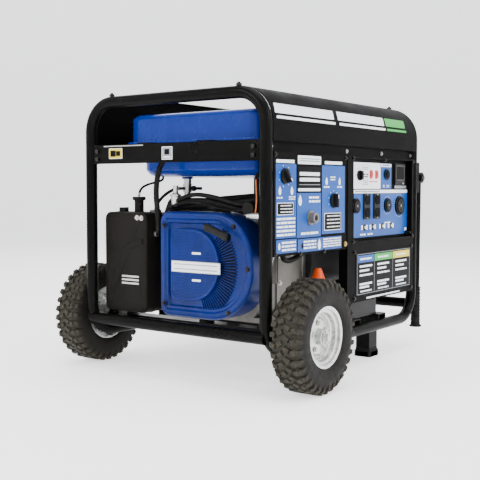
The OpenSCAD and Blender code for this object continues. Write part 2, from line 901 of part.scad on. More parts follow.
// Hose of diameter d along the points, with eight sides
module hose(points, d, sides = 8) {
  path = smooth(points, 3);
  n = len(path);
  rings = [for (i = [0:n - 1])
    let (
      dir = unit(path[min(i + 1, n - 1)] - path[max(i - 1, 0)]),
      f = ring_frame(dir)
    )
    for (k = [0:sides - 1])
      path[i] + d / 2 * (cos(k * 360 / sides) * f[0] + sin(k * 360 / sides) * f[1])];
  walls = [for (i = [0:n - 2], k = [0:sides - 1])
    [i * sides + k, i * sides + (k + 1) % sides,
     (i + 1) * sides + (k + 1) % sides, (i + 1) * sides + k]];
  first = [for (k = [sides - 1:-1:0]) k];
  last = [for (k = [0:sides - 1]) (n - 1) * sides + k];
  polyhedron(points = rings, faces = concat([first], walls, [last]), convexity = 6);
}

// Hoses run where the frame, the tank and the engine hold them
module fuel_hoses() {
  valve_z = seam_z - tank_down - 30;
  carb_x = cleaner_x + cleaner_d + 30;
  panel_back = knob_y + 40;
  cap_z = cleaner_z + cleaner_h + 38;
  color("#161616") {
    // fuel line from the valve to the carburettor
    hose([[valve_x - 30 - gap, valve_y, valve_z], [valve_x - 38, valve_y, valve_z],
          [valve_x - 50, valve_y + 6, valve_z - 2],
          [carb_x - 10, carb_y - 34, valve_z - 20], [carb_x, carb_y - 4, carb_z + carb_top + 16],
          [carb_x, carb_y, carb_z + carb_top + 6], [carb_x, carb_y, carb_z + carb_top + gap]], 8);
    // gas hose from the panel's regulator, over the blower, to the carburettor
    hose([[x0 + 215, panel_back + gap, 440], [x0 + 215, panel_back + 14, 440],
          [x0 + 212, panel_back + 34, 439],
          [x0 + 196, yf + 110, 434], [x0 + 150, yf + 200, 424],
          [x0 + 122, yf + 290, 414], [x0 + 120, yf + 360, 404],
          [carb_x + 4, carb_y - 48, carb_z + 12], [carb_x + 4, carb_y - 34, carb_z],
          [carb_x + 4, carb_y - 30, carb_z], [carb_x + 4, carb_y - bowl_r - gap, carb_z]], 18);
    // balance hose beside it
    hose([[x0 + 110, panel_back + gap, 430], [x0 + 110, panel_back + 12, 430],
          [x0 + 107, panel_back + 30, 429],
          [x0 + 96, yf + 120, 420], [x0 + 88, yf + 200, 410],
          [x0 + 92, yf + 290, 408], [x0 + 100, yf + 352, 400],
          [carb_x - 20, carb_y - 42, carb_z - 2], [carb_x - 20, carb_y - 32, carb_z - 4],
          [carb_x - 20, carb_y - bowl_r - gap, carb_z - 4]], 12);
    // tank breather into the side of the air cleaner
    hose([[tank_x + lower_in - gap, yf + 350, 528], [tank_x + lower_in - 12, yf + 350, 528],
          [tank_x + lower_in - 26, yf + 351, 525],
          [x0 + 60, yf + 355, 508], [x0 + 56, yf + 364, 470],
          [x0 + 57, yf + 367, 430], [x0 + 62, yf + 365, 390],
          [x0 + 65, yf + 366, 356], [x0 + 67, cleaner_y - 10, 342],
          [x0 + 67, cleaner_y - 5, 340], [x0 + 67, cleaner_y - gap, 340]], 14);
    // thin vent from the tank down to the air cleaner's cap
    hose([[cleaner_x + 34, cleaner_y + 54, cap_z + gap],
          [cleaner_x + 34, cleaner_y + 54, cap_z + 16],
          [cleaner_x + 50, cleaner_y + 50, cap_z + 30],
          [tank_x + lower_in + 36, cleaner_y + 40, seam_z - tank_down - 12],
          [tank_x + lower_in + 40, cleaner_y + 38, seam_z - tank_down - 7],
          [tank_x + lower_in + 40, cleaner_y + 38, seam_z - tank_down - gap]], 6);
  }
}

// ---- engine -----------------------------------------------------------------------

module crankcase() {
  front = crank_y - 104;
  back = crank_y + 100;
  color("#a9abac") difference() {
    union() {
      along_x(case_x, case_l) translate([front, engine_z + 10])
        round_rect(back - front, crank_z + 96 - engine_z - 10, 26);
      block(case_x + 4, crank_y - 108, engine_z, [case_l - 12, 216, 12]);
      at_cylinder() translate([-62, -62, deck - 40]) cube([124, 124, 40]);
      rod_x(case_x - 2, crank_y, crank_z, 90, 4);
      // oil filler neck
      rod_y(oil_x, oil_y + 4, oil_z - 14, 22, front - oil_y + 4);
      translate([oil_x, oil_y, oil_z - 26]) cylinder(d = 26, h = 26);
    }
    rod_x(case_x - 10, crank_y, crank_z, journal_d + 2 * run_fit, case_l + 20);
    rod_x(case_x + 12, crank_y, crank_z, 150, case_l - 24);
    at_cylinder() translate([0, 0, 40]) cylinder(d = bore_d + 4, h = 80);
    at_cylinder() translate([-90, -90, deck]) cube([180, 180, 80]);
    translate([oil_x, oil_y, oil_z - 18]) cylinder(d = 12 + 2 * run_fit, h = 20);
  }
}

// Cylinder frame: Z runs outwards along the bore
module at_cylinder() {
  translate([cyl_x, crank_y, crank_z]) rotate([cyl_tilt - 90, 0, 0]) children();
}

module cylinder_block() {
  color("#b3b5b6") at_cylinder() difference() {
    union() {
      translate([0, 0, deck]) cylinder(d = bore_d + 18, h = 100);
      for (i = [0:11])
        translate([-60, -60, deck + 3 + i * 8]) linear_extrude(2.6) round_rect(120, 120, 14);
      translate([-55, -58, 196]) linear_extrude(34) round_rect(110, 116, 10);
    }
    translate([0, 0, deck - 1]) cylinder(d = bore_d, h = 96);
  }
}

module valve_cover() {
  color("#1e1e20") at_cylinder() {
    translate([-46, -48, 230]) linear_extrude(22) round_rect(92, 96, 14);
    translate([-38, -40, 252]) linear_extrude(5) round_rect(76, 80, 12);
  }
}

// Outline of the blower housing, drawn smaller by inset
module blower_outline(inset) {
  r = blower_r - inset;
  left = 133 - inset;
  top = 119 - inset;
  low = 130 - inset;
  intersection() {
    union() {
      circle(r, $fn = 128);
      translate([0, -low]) round_rect(left, low + top, 24);
      translate([-60, -20]) square([120, 20 + top]);
    }
    translate([-blower_r, -blower_r]) square([blower_r + left, blower_r + top]);
  }
}

module at_crank(x) {
  translate([x, crank_y, crank_z]) rotate([90, 0, 90]) children();
}

module blower_housing() {
  color("#1c63b8") difference() {
    at_crank(blower_x) linear_extrude(blower_l) blower_outline(0);
    at_crank(blower_x + 3) linear_extrude(blower_l) blower_outline(3);
    at_crank(blower_x - 1) cylinder(r = 112, h = 10);
  }
}

// Front cover of the recoil starter, with a ring of louvres
module recoil_cover() {
  depth = 20;
  color("#1d66bd") at_crank(blower_x - depth) difference() {
    union() {
      cylinder(r = 108, h = depth, $fn = 128);
      translate([0, 0, depth - 4]) cylinder(r = 122, h = 4 - gap / 3, $fn = 128);
      translate([-78, -84, -3]) linear_extrude(3) round_rect(156, 172, 34);
    }
    translate([0, 0, 3]) cylinder(r = 104, h = depth, $fn = 128);
    translate([0, 0, -1]) cylinder(d = 20, h = 6);
    for (i = [0:louvre_n - 1]) rotate([0, 0, louvre_from + i * 8])
      translate([88, -2, -1]) cube([15, 4, 5]);
    translate([grip_hub[0] - crank_y, grip_hub[1] - crank_z, -5]) cylinder(d = 9, h = 12);
  }
}

module recoil_grip() {
  x = blower_x - 20;
  color("#141414") {
    translate([x - 3 - gap - 14, grip_hub[0], grip_hub[1]]) rotate([20, 0, 0])
      rotate([90, 0, 0]) {
        translate([0, 0, -38]) cylinder(d = 20, h = 76);
      }
    rod_x(x - 3 - gap - 10, grip_hub[0], grip_hub[1], 14, 10);
    rod_x(x - 5, grip_hub[0], grip_hub[1], 4, blower_l + 16);
  }
}

// Crankshaft with its webs and the tapered nose that drives the rotor
module crankshaft() {
  color("#8d9092") {
    rod_x(blower_x - 8, crank_y, crank_z, 24, 40);
    rod_x(blower_x + 30, crank_y, crank_z, journal_d, case_x + 60 - blower_x - 30);
    for (x = [case_x + 60, case_x + 112]) rod_x(x, crank_y, crank_z, 120, 20);
    rod_x(case_x + 76, crank_y + 30, crank_z, 36, 40);
    rod_x(case_x + 130, crank_y, crank_z, journal_d, case_l - 130 + 20);
    rod_x(case_x + case_l + 15, crank_y, crank_z, 28, drum_l + bell_l - 12);
  }
}

module flywheel_fan() {
  color("#77797b") difference() {
    union() {
      rod_x(blower_x + 30, crank_y, crank_z, 172, 14);
      rod_x(blower_x + 16, crank_y, crank_z, 60, 20);
      for (a = [0:18:342]) at_crank(blower_x + 10) rotate([0, 0, a])
        translate([30, -1.5, 0]) cube([54, 3, 22]);
      at_crank(blower_x + 10) washer(156, 172, 3);
    }
    rod_x(blower_x + 5, crank_y, crank_z, 24, 26);
    rod_x(blower_x + 30, crank_y, crank_z, journal_d, 20);
  }
}

// Rotor with four poles
module alternator_rotor() {
  r = drum_r - 22;
  color("#7a4a2a") at_crank(drum_x + 14) linear_extrude(drum_l - 30) difference() {
    intersection() {
      circle(r);
      for (a = [0, 90]) rotate([0, 0, a]) square([2 * r, pole_w], center = true);
    }
    circle(d = 28);
  }
}

module alternator_housing() {
  color("#2a2b2d") {
    difference() {
      union() {
        rod_x(drum_x - 14, crank_y, crank_z, 2 * drum_r, drum_l + 14);
        for (x = [member_xs[2], member_xs[3]])
          block(x - 16, crank_y - 80, engine_z, [32, 160, 40]);
      }
      rod_x(drum_x, crank_y, crank_z, 2 * drum_r - 28, drum_l + 10);
      rod_x(drum_x - 20, crank_y, crank_z, journal_d + 10, 30);
    }
    // end bell with its air slots and bearing seat
    difference() {
      rod_x(drum_x + drum_l, crank_y, crank_z, 2 * drum_r - 8, bell_l);
      rod_x(drum_x + drum_l - 1, crank_y, crank_z, 2 * drum_r - 16, bell_l - 7);
      rod_x(drum_x + drum_l, crank_y, crank_z, 28 + 2 * run_fit, bell_l + 2);
      for (a = [0:15:345]) at_crank(drum_x + drum_l + bell_l - 10) rotate([0, 0, a])
        translate([50, -3, 0]) cube([46, 6, 12]);
    }
  }
}

// ---- air, exhaust, oil, battery -----------------------------------------------

// Hollow box that opens into the carburettor
module air_cleaner() {
  color("#1d1d1e") {
    difference() {
      along_x(cleaner_x, cleaner_d) translate([cleaner_y, cleaner_z])
        round_rect(cleaner_w, cleaner_h, 14);
      along_x(cleaner_x + box_wall, cleaner_d - 2 * box_wall)
        translate([cleaner_y + box_wall, cleaner_z + box_wall])
          round_rect(cleaner_w - 2 * box_wall, cleaner_h - 2 * box_wall, 14 - box_wall);
      rod_x(cleaner_x + cleaner_d / 2, carb_y, carb_z, carb_bore, cleaner_d);
    }
    translate([cleaner_x + 34, cleaner_y + 54, cleaner_z + cleaner_h]) {
      cylinder(d = 22, h = 30);
      translate([0, 0, 30]) cylinder(d = 32, h = 8);
    }
  }
}

module air_cleaner_knob() {
  color("#161616") translate([cleaner_x + 26, cleaner_y + 98, cleaner_z + cleaner_h + gap]) {
    cylinder(d = 24, h = 8);
    translate([-14, -3, 3]) cube([28, 6, 8]);
  }
}

module carburettor() {
  x = cleaner_x + cleaner_d;
  len = cyl_x - 55 - x;
  color("#9da0a3") difference() {
    union() {
      rod_x(x, carb_y, carb_z, 44, len);
      translate([x + len / 2, carb_y, carb_z - 50]) cylinder(r = bowl_r, h = 50);
      translate([x + len / 2, carb_y, carb_z]) cylinder(d = 30, h = carb_top);
    }
    rod_x(x - 1, carb_y, carb_z, carb_bore, len + 2);
  }
}

// Hollow muffler with its inlet pipe and an outlet in its end
module muffler() {
  x = x0 + 300;
  l = 180;
  color("#3a3a3b") difference() {
    union() {
      along_x(x, l) translate([yf + 408, crank_z + 10]) round_rect(112, 130, 40);
      rod_x(cyl_x + 55, carb_y, carb_z, 34, x - cyl_x - 55);
    }
    along_x(x + box_wall, l - 2 * box_wall)
      translate([yf + 408 + box_wall, crank_z + 10 + box_wall])
        round_rect(112 - 2 * box_wall, 130 - 2 * box_wall, 40 - box_wall);
    rod_x(cyl_x + 54, carb_y, carb_z, 28, x - cyl_x - 45);
    rod_x(x + l - 5, yf + 470, crank_z + 75, 26, 10);
  }
}

module oil_cap() {
  color("#f07a10") translate([oil_x, oil_y, oil_z + gap]) {
    cylinder(r1 = 18, r2 = 8, h = 28);
    translate([0, 0, -14]) cylinder(d = 12, h = 14);
  }
}

module battery() {
  color("#26282a") {
    block(battery_x, battery_y, battery_z, battery_size);
    for (dx = [24, 124])
      translate([battery_x + dx, battery_y + 22, battery_z + battery_size[2]])
        cylinder(d = 12, h = 10);
  }
  color("#1c1c1e") difference() {
    block(battery_x - 3, battery_y - 3, battery_z - 2,
          [battery_size[0] + 6, battery_size[1] + 6, 46]);
    block(battery_x - gap, battery_y - gap, battery_z,
          [battery_size[0] + 2 * gap, battery_size[1] + 2 * gap, 60]);
  }
}

engine_end_hoop();
alternator_end_hoop();
side_rails();
cross_members();
rubber_isolators();
tank_supports();
front_banner();
rear_banner();
centre_post();
lower_fascia();
spec_plate();
support_legs();
rubber_feet();
welded_brackets();
axle_hardware();
front_rim();
front_tyre();
back_rim();
back_tyre();
frame_bolts();
front_handle();
front_handle_grip();
back_handle();
back_handle_grip();
fuel_panel();
fuel_selector_knob();
fuel_shutoff_knob();
gas_inlet();
power_panel();
engine_switch();
start_rocker();
idle_rocker();
receptacles();
digital_meter();
breaker_button_1();
breaker_button_2();
breaker_button_3();
breaker_button_4();
tank_upper_shell();
tank_lower_shell();
fuel_cap();
fuel_valve();
fuel_valve_lever();
fuel_hoses();
crankcase();
cylinder_block();
valve_cover();
blower_housing();
recoil_cover();
recoil_grip();
crankshaft();
flywheel_fan();
alternator_rotor();
alternator_housing();
air_cleaner();
air_cleaner_knob();
carburettor();
muffler();
oil_cap();
battery();
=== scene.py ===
import bpy, bmesh, math
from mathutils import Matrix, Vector


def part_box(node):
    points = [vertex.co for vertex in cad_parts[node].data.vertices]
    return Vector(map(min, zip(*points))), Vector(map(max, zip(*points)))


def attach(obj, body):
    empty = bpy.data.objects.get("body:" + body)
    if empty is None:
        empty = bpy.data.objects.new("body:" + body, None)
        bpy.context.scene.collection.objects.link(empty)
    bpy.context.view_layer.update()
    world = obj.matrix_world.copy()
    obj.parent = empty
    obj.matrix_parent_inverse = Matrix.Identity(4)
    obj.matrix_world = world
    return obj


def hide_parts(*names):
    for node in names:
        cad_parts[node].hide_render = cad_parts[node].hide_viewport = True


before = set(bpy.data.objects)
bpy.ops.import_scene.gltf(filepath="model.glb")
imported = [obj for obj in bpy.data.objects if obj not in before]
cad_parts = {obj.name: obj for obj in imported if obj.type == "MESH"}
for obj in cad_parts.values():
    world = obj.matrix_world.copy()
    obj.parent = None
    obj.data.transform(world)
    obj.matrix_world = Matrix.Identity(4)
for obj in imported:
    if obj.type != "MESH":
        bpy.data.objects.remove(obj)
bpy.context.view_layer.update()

print("frame loaded")

# camera
cameraSetup = dict(place=(-1.88997, -1.31192, 0.45137), turn=(87.23, 0, -53.72), lens=64.72, shift=-0.0216)
cameraData = bpy.data.cameras.new("studioCamera")
cameraData.lens, cameraData.sensor_width = cameraSetup["lens"], 36
cameraData.shift_y = cameraSetup["shift"]
camera = bpy.data.objects.new("studioCamera", cameraData)
bpy.context.scene.collection.objects.link(camera)
camera.location = cameraSetup["place"]
camera.rotation_euler = [math.radians(a) for a in cameraSetup["turn"]]
bpy.context.scene.camera = camera


# materials: sums on a Wire add Math nodes, everything else goes through Paint.add
def rgb(r, g, b, strength=1.0):  # screen colour 0-255 to the linear value a shader wants
    def straight(c):
        c /= 255
        return (c / 12.92 if c <= 0.04045 else ((c + 0.055) / 1.055) ** 2.4) * strength
    return (straight(r), straight(g), straight(b), 1)


class Wire:
    def __init__(self, paint, out):
        self.paint, self.out = paint, out

    def sum(self, how, a, b=0.0):
        return self.paint.add("ShaderNodeMath", dict(operation=how), {0: a, 1: b})

    def __add__(self, b): return self.sum("ADD", self, b)
    def __sub__(self, b): return self.sum("SUBTRACT", self, b)
    def __rsub__(self, a): return self.sum("SUBTRACT", a, self)
    def __mul__(self, b): return self.sum("MULTIPLY", self, b)
    def __pow__(self, b): return self.sum("POWER", self, b)
    __radd__, __rmul__ = __add__, __mul__


class Paint:
    def __init__(self, name, **fixed):
        self.material = bpy.data.materials.new(name)
        self.material.use_nodes = True
        self.tree = self.material.node_tree
        self.shader = self.tree.nodes["Principled BSDF"]
        self.set(**fixed)

    def set(self, **values):  # coatWeight=0.4 sets or links the socket Coat Weight
        for key, value in values.items():
            title = "".join(" " + c if c.isupper() else c for c in key).title()
            self.feed(self.shader.inputs[title.replace("Ior", "IOR")], value)

    def feed(self, socket, value):
        if isinstance(value, Wire):
            self.tree.links.new(value.out, socket)
        else:
            socket.default_value = value

    def add(self, kind, settings={}, inputs={}, out=0):
        made = self.tree.nodes.new(kind)
        for key, value in settings.items():
            setattr(made, key, value)
        for key, value in inputs.items():
            self.feed(made.inputs[key], value)
        return Wire(self, made.outputs[out])

    def place(self, centre=(0, 0, 0)):
        point = self.add("ShaderNodeTexCoord", {}, {}, "Object")
        if centre == (0, 0, 0):
            return point
        return self.add("ShaderNodeVectorMath", dict(operation="SUBTRACT"), {0: point, 1: centre})

    def cloud(self, scale, detail=3, rough=0.5, at=None):
        inputs = {"Vector": at or self.place(), "Scale": scale, "Detail": detail, "Roughness": rough}
        return self.add("ShaderNodeTexNoise", {}, inputs, "Fac")

    def fade(self, value, low, high, toLow=0.0, toHigh=1.0):
        inputs = {"Value": value, 1: low, 2: high, 3: toLow, 4: toHigh}
        return self.add("ShaderNodeMapRange", dict(interpolation_type="SMOOTHSTEP"), inputs)

    def tint(self, amount, a, b):
        return self.add("ShaderNodeMix", dict(data_type="RGBA"), {0: amount, 6: a, 7: b}, 2)

    def bump(self, height, depth, strength=1.0):
        self.set(normal=self.add("ShaderNodeBump", {}, {"Strength": strength, "Distance": depth,
                                                        "Height": height}))


# a paint, plastic or rubber skin: two tones in soft clouds, a fine grain, dull patches and dust
def coated(name, look):
    paint = Paint(name, metallic=look.get("metal", 0.0), coatWeight=look.get("coat", 0.0),
                  coatRoughness=look.get("coatRough", 0.08), specularIorLevel=look.get("shine", 0.5))
    patch = paint.cloud(look.get("patch", 9.0), 5, 0.6)
    grain = paint.cloud(look.get("grain", 900.0), 2, 0.5)
    fine = paint.fade(paint.cloud(look.get("patch", 9.0) * 7, 4, 0.7), 0.52, 0.75)
    tone = paint.tint(paint.fade(patch, 0.35, 0.65), look["colour"], look["second"])
    dusty = paint.tint(fine * look.get("dust", 0.12), tone, look.get("dustColour", rgb(150, 146, 138)))
    paint.set(baseColor=dusty)
    paint.set(roughness=paint.fade(patch + grain * 0.3, 0.4, 0.9, look["rough"][0], look["rough"][1])
              + fine * 0.06)
    if look.get("depth", 0) > 0:
        paint.bump(grain, look["depth"], look.get("strength", 0.6))
    return paint.material


finishLooks = dict(
    frameBlack=dict(colour=rgb(4, 4, 3), second=rgb(8, 7, 6), rough=(0.26, 0.38), coat=0.04, shine=0.04,
                    grain=260, depth=0.00025, strength=0.25, dust=0.0),
    sheetBlack=dict(colour=rgb(5, 4, 4), second=rgb(9, 8, 7), rough=(0.42, 0.55), shine=0.03, grain=1100,
                    depth=0.0001, strength=0.35, dust=0.0),
    tankBlue=dict(colour=rgb(0, 38, 124), second=rgb(0, 43, 134), rough=(0.24, 0.3), coat=0.16, coatRough=0.06,
                  shine=0.1, patch=4, grain=170, depth=0.0002, strength=0.06, dust=0.0),
    blowerBlue=dict(colour=rgb(0, 24, 86), second=rgb(0, 31, 104), rough=(0.33, 0.42), coat=0.14, shine=0.12,
                    coatRough=0.15, metal=0.1, grain=500, depth=0.0001, strength=0.3, dust=0.04),
    boxPlastic=dict(colour=rgb(16, 15, 13), second=rgb(23, 21, 18), rough=(0.44, 0.56), shine=0.06, grain=1500,
                    depth=0.00025, strength=0.6, dust=0.0),
    hardPlastic=dict(colour=rgb(9, 9, 9), second=rgb(14, 14, 14), rough=(0.35, 0.45), shine=0.14, grain=1800,
                     depth=0.0001, strength=0.3, dust=0.02),
    softRubber=dict(colour=rgb(12, 11, 10), second=rgb(19, 18, 16), rough=(0.6, 0.72), shine=0.12, grain=1300,
                    depth=0.0002, strength=0.5, dust=0.04),
    castMetal=dict(colour=rgb(98, 96, 90), second=rgb(128, 126, 120), rough=(0.45, 0.6), metal=0.7, grain=1200,
                   depth=0.0003, strength=0.7, dust=0.12, dustColour=rgb(90, 82, 70)),
    zincSteel=dict(colour=rgb(176, 176, 172), second=rgb(196, 195, 190), rough=(0.24, 0.36), metal=1.0,
                   grain=700, depth=0.00008, strength=0.3, dust=0.06),
    blackZinc=dict(colour=rgb(30, 29, 28), second=rgb(44, 42, 40), rough=(0.32, 0.45), metal=0.8, grain=700,
                   depth=0.0001, strength=0.3, dust=0.04),
    brassFitting=dict(colour=rgb(182, 150, 92), second=rgb(200, 170, 112), rough=(0.25, 0.38), metal=1.0,
                      grain=600, depth=0.0001, strength=0.3, dust=0.05),
    forgedSteel=dict(colour=rgb(120, 118, 115), second=rgb(98, 95, 92), rough=(0.35, 0.5), metal=1.0, grain=500,
                     depth=0.0003, strength=0.5, dust=0.1, dustColour=rgb(80, 60, 42)),
    copperWire=dict(colour=rgb(150, 78, 40), second=rgb(180, 100, 56), rough=(0.3, 0.45), metal=0.8, grain=900,
                    depth=0.0003, strength=0.6, dust=0.05),
    alternatorGrey=dict(colour=rgb(46, 46, 46), second=rgb(58, 57, 56), rough=(0.45, 0.6), metal=0.3, grain=900,
                        depth=0.0002, strength=0.5, dust=0.08),
    exhaustBlack=dict(colour=rgb(24, 23, 22), second=rgb(52, 42, 35), rough=(0.55, 0.75), metal=0.4, grain=700,
                      depth=0.0003, strength=0.6, dust=0.15, dustColour=rgb(110, 78, 54)),
    orangePlastic=dict(colour=rgb(222, 74, 4), second=rgb(232, 88, 8), rough=(0.35, 0.45), shine=0.25,
                       grain=1200, depth=0.0001, strength=0.3, dust=0.04),
    redPlastic=dict(colour=rgb(168, 8, 8), second=rgb(182, 14, 12), rough=(0.25, 0.35), coat=0.1, shine=0.25,
                    grain=1200, depth=0.00005, strength=0.2, dust=0.01),
    whitePlastic=dict(colour=rgb(222, 222, 218), second=rgb(236, 236, 232), rough=(0.35, 0.45), grain=1200,
                      depth=0.00005, strength=0.2, dust=0.03),
    meterGlass=dict(colour=rgb(26, 22, 19), second=rgb(33, 29, 25), rough=(0.2, 0.26), coat=0.1, shine=0.15,
                    grain=1200, dust=0.01),
    printWhite=dict(colour=rgb(226, 229, 232), second=rgb(238, 240, 242), rough=(0.28, 0.36), coat=0.3,
                    grain=1300, depth=0.00003, strength=0.2, dust=0.02),
    printBlue=dict(colour=rgb(0, 66, 142), second=rgb(1, 72, 150), rough=(0.3, 0.38), coat=0.05, shine=0.25,
                   grain=1300, depth=0.00003, strength=0.2, dust=0.01),
    printBlack=dict(colour=rgb(11, 11, 12), second=rgb(16, 16, 17), rough=(0.34, 0.42), shine=0.04, grain=1300,
                    depth=0.00003, strength=0.2, dust=0.0),
    printGrey=dict(colour=rgb(120, 126, 132), second=rgb(138, 143, 148), rough=(0.28, 0.36), coat=0.3,
                   grain=1300, depth=0.00003, strength=0.2, dust=0.01),
    printGreen=dict(colour=rgb(34, 150, 52), second=rgb(44, 160, 62), rough=(0.3, 0.38), shine=0.25, grain=1300,
                    depth=0.00003, strength=0.2, dust=0.01),
    printYellow=dict(colour=rgb(206, 178, 30), second=rgb(214, 188, 40), rough=(0.3, 0.38), shine=0.25,
                     grain=1300, depth=0.00003, strength=0.2, dust=0.01),
    # painted shade: flat near-black for the insides of holes, slots and recesses; also the dark face of the meter
    # screen
    holeShadeAndScreenBlack=dict(colour=rgb(6, 6, 7), second=rgb(10, 10, 11), rough=(0.8, 0.9), grain=900, dust=0.0,
                  shine=0.2))
finishes = {name: coated(name, look) for name, look in finishLooks.items()}


def spangled(name):  # galvanised sheet: small crystals that each catch the light a little differently
    paint = Paint(name, metallic=1.0)
    crystals = paint.add("ShaderNodeTexVoronoi", dict(feature="F1"), {"Vector": paint.place(), "Scale": 170.0},
                         "Color")
    flake = paint.add("ShaderNodeSeparateColor", {}, {0: crystals}, 0)
    patch = paint.cloud(14, 4, 0.6)
    paint.set(baseColor=paint.tint(flake * 0.6 + patch * 0.4, rgb(186, 188, 184), rgb(224, 225, 222)))
    paint.set(roughness=paint.fade(flake + patch * 0.5, 0.2, 1.2, 0.24, 0.42))
    paint.bump(paint.cloud(420, 2, 0.5), 0.00015, 0.35)
    return paint.material


# dusty rubber: greyer at the tread, blacker and finely ringed down the sidewall
def treadRubber(name, centre):
    paint = Paint(name, specularIorLevel=0.15)
    at = paint.add("ShaderNodeSeparateXYZ", {}, {0: paint.place(centre)}, 0)
    node = at.out.node
    x, z = Wire(paint, node.outputs[0]), Wire(paint, node.outputs[2])
    radius = (x * x + z * z) ** 0.5
    crown = paint.fade(radius, 0.098, 0.124)
    dust = paint.fade(paint.cloud(60, 5, 0.65), 0.4, 0.7)
    dark = paint.tint(paint.cloud(18, 4, 0.6), rgb(14, 13, 12), rgb(22, 20, 18))
    paint.set(baseColor=paint.tint(crown * 0.32 + dust * 0.28 * crown + dust * 0.08, dark, rgb(66, 62, 52)))
    paint.set(roughness=paint.fade(dust, 0.0, 1.0, 0.62, 0.8))
    rings = (radius * 2600.0).sum("SINE", radius * 2600.0)
    paint.bump(rings * (1 - crown) * 0.35 + paint.cloud(900, 3, 0.6), 0.0003, 0.5)
    return paint.material


def paperWithPaintedGlow(name):  # pale paper with a painted glow: it emits light, more near the object than at the walls, a painted pool of light under the object
    paint = Paint(name, roughness=0.75, specularIorLevel=0.2, baseColor=rgb(247, 247, 248),
                  emissionStrength=1.0)
    away = paint.add("ShaderNodeVectorMath", dict(operation="LENGTH"), {0: paint.place()}, 1)
    # emission colour is painted light: bright near the object, fading towards the walls
    paint.set(emissionColor=paint.tint(paint.fade(away, 0.6, 6.5), (1.05, 1.05, 1.05, 1), (0.5, 0.5, 0.505, 1)))
    return paint.material


wheelCentre = {side: (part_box(side + "_tyre")[0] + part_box(side + "_tyre")[1]) / 2 for side in ("front", "back")}
finishes["floorPaintedGlow"] = paperWithPaintedGlow("floorPaintedGlow")
finishes["galvanised"] = spangled("galvanised")
for side in ("front", "back"):
    finishes[side + "TyreRubber"] = treadRubber(side + "TyreRubber", tuple(wheelCentre[side]))
print("materials made:", len(finishes))

# what each carried-over part is finished in
nodeFinish = dict(
    engine_end_hoop="frameBlack", alternator_end_hoop="frameBlack", side_rails="frameBlack",
                  cross_members="frameBlack",
    rubber_isolators="softRubber", tank_supports="frameBlack", front_banner="sheetBlack",
                  rear_banner="sheetBlack",
    centre_post="sheetBlack", lower_fascia="sheetBlack", spec_plate="printBlack", support_legs="frameBlack",
    rubber_feet="softRubber", welded_brackets="frameBlack", axle_hardware="zincSteel", front_rim="galvanised",
    front_tyre="frontTyreRubber", back_rim="galvanised", back_tyre="backTyreRubber", frame_bolts="blackZinc",
    front_handle="frameBlack", front_handle_grip="softRubber", back_handle="frameBlack",
                  back_handle_grip="softRubber",
    fuel_panel="sheetBlack", fuel_selector_knob="hardPlastic", fuel_shutoff_knob="hardPlastic",
                  gas_inlet="castMetal",
    power_panel="sheetBlack", engine_switch="hardPlastic", start_rocker="redPlastic", idle_rocker="redPlastic",
    receptacles="hardPlastic", digital_meter="hardPlastic", breaker_button_1="whitePlastic",
                  breaker_button_2="whitePlastic",
    breaker_button_3="whitePlastic", breaker_button_4="whitePlastic", tank_upper_shell="tankBlue",
    tank_lower_shell="tankBlue", fuel_cap="hardPlastic", fuel_valve="zincSteel", fuel_valve_lever="hardPlastic",
    fuel_hoses="softRubber", crankcase="castMetal", cylinder_block="castMetal", valve_cover="hardPlastic",
    blower_housing="blowerBlue", recoil_cover="blowerBlue", recoil_grip="hardPlastic", crankshaft="forgedSteel",
    flywheel_fan="castMetal", alternator_rotor="copperWire", alternator_housing="alternatorGrey",
    air_cleaner="boxPlastic", air_cleaner_knob="hardPlastic", carburettor="castMetal", muffler="exhaustBlack",
    oil_cap="orangePlastic", battery="hardPlastic")
for nodeName, finish in nodeFinish.items():
    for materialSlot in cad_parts[nodeName].material_slots:
        materialSlot.material = finishes[finish]
print("parts painted:", len(nodeFinish), "of", len(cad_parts))


# modelling helpers
def clear():
    if bpy.context.object and bpy.context.object.mode != "OBJECT":
        bpy.ops.object.mode_set(mode="OBJECT")
    bpy.ops.object.select_all(action="DESELECT")


# edit mode, with the faces, edges or points selected that pass the test
def edit(piece, test=None, mode="FACE"):
    if bpy.context.object != piece or piece.mode != "EDIT":
        clear()
        piece.select_set(True)
        bpy.context.view_layer.objects.active = piece
        bpy.ops.object.mode_set(mode="EDIT")
    bpy.ops.mesh.select_mode(type=mode)
    bpy.ops.mesh.select_all(action="SELECT" if test is None else "DESELECT")
    if test:
        mesh = bmesh.from_edit_mesh(piece.data)
        group = dict(FACE=mesh.faces, EDGE=mesh.edges, VERT=mesh.verts)[mode]
        for item in group:
            item.select_set(bool(test(item)))
        mesh.select_flush_mode()
        bmesh.update_edit_mesh(piece.data)


def middle(item):  # centre of a face or an edge
    return item.calc_center_median() if hasattr(item, "calc_center_median") else (item.verts[0].co
            + item.verts[1].co) / 2


def along(edge, axis):  # an edge that runs along that axis
    run = edge.verts[1].co - edge.verts[0].co
    return run.length > 0 and abs(run[axis]) > 0.98 * run.length


def settle(piece, name, finish, body, bevel=0, segments=2, smooth=30, replaced=()):
    clear()
    piece.select_set(True)
    bpy.context.view_layer.objects.active = piece
    bpy.ops.object.transform_apply(location=True, rotation=True, scale=True)
    if bevel:
        rounding = piece.modifiers.new("softEdges", "BEVEL")
        rounding.width, rounding.segments, rounding.limit_method = bevel, segments, "ANGLE"
        bpy.ops.object.modifier_apply(modifier=rounding.name)
    if not piece.data.materials:
        piece.data.materials.append(finishes[finish])
    bpy.ops.object.shade_smooth_by_angle(angle=math.radians(smooth))
    weights = piece.modifiers.new("flatFaces", "WEIGHTED_NORMAL")
    weights.keep_sharp = True
    bpy.ops.object.modifier_apply(modifier=weights.name)
    piece.name = piece.data.name = name
    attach(piece, body)
    if replaced:
        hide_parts(*replaced)
    return piece


def started():
    return bpy.context.object


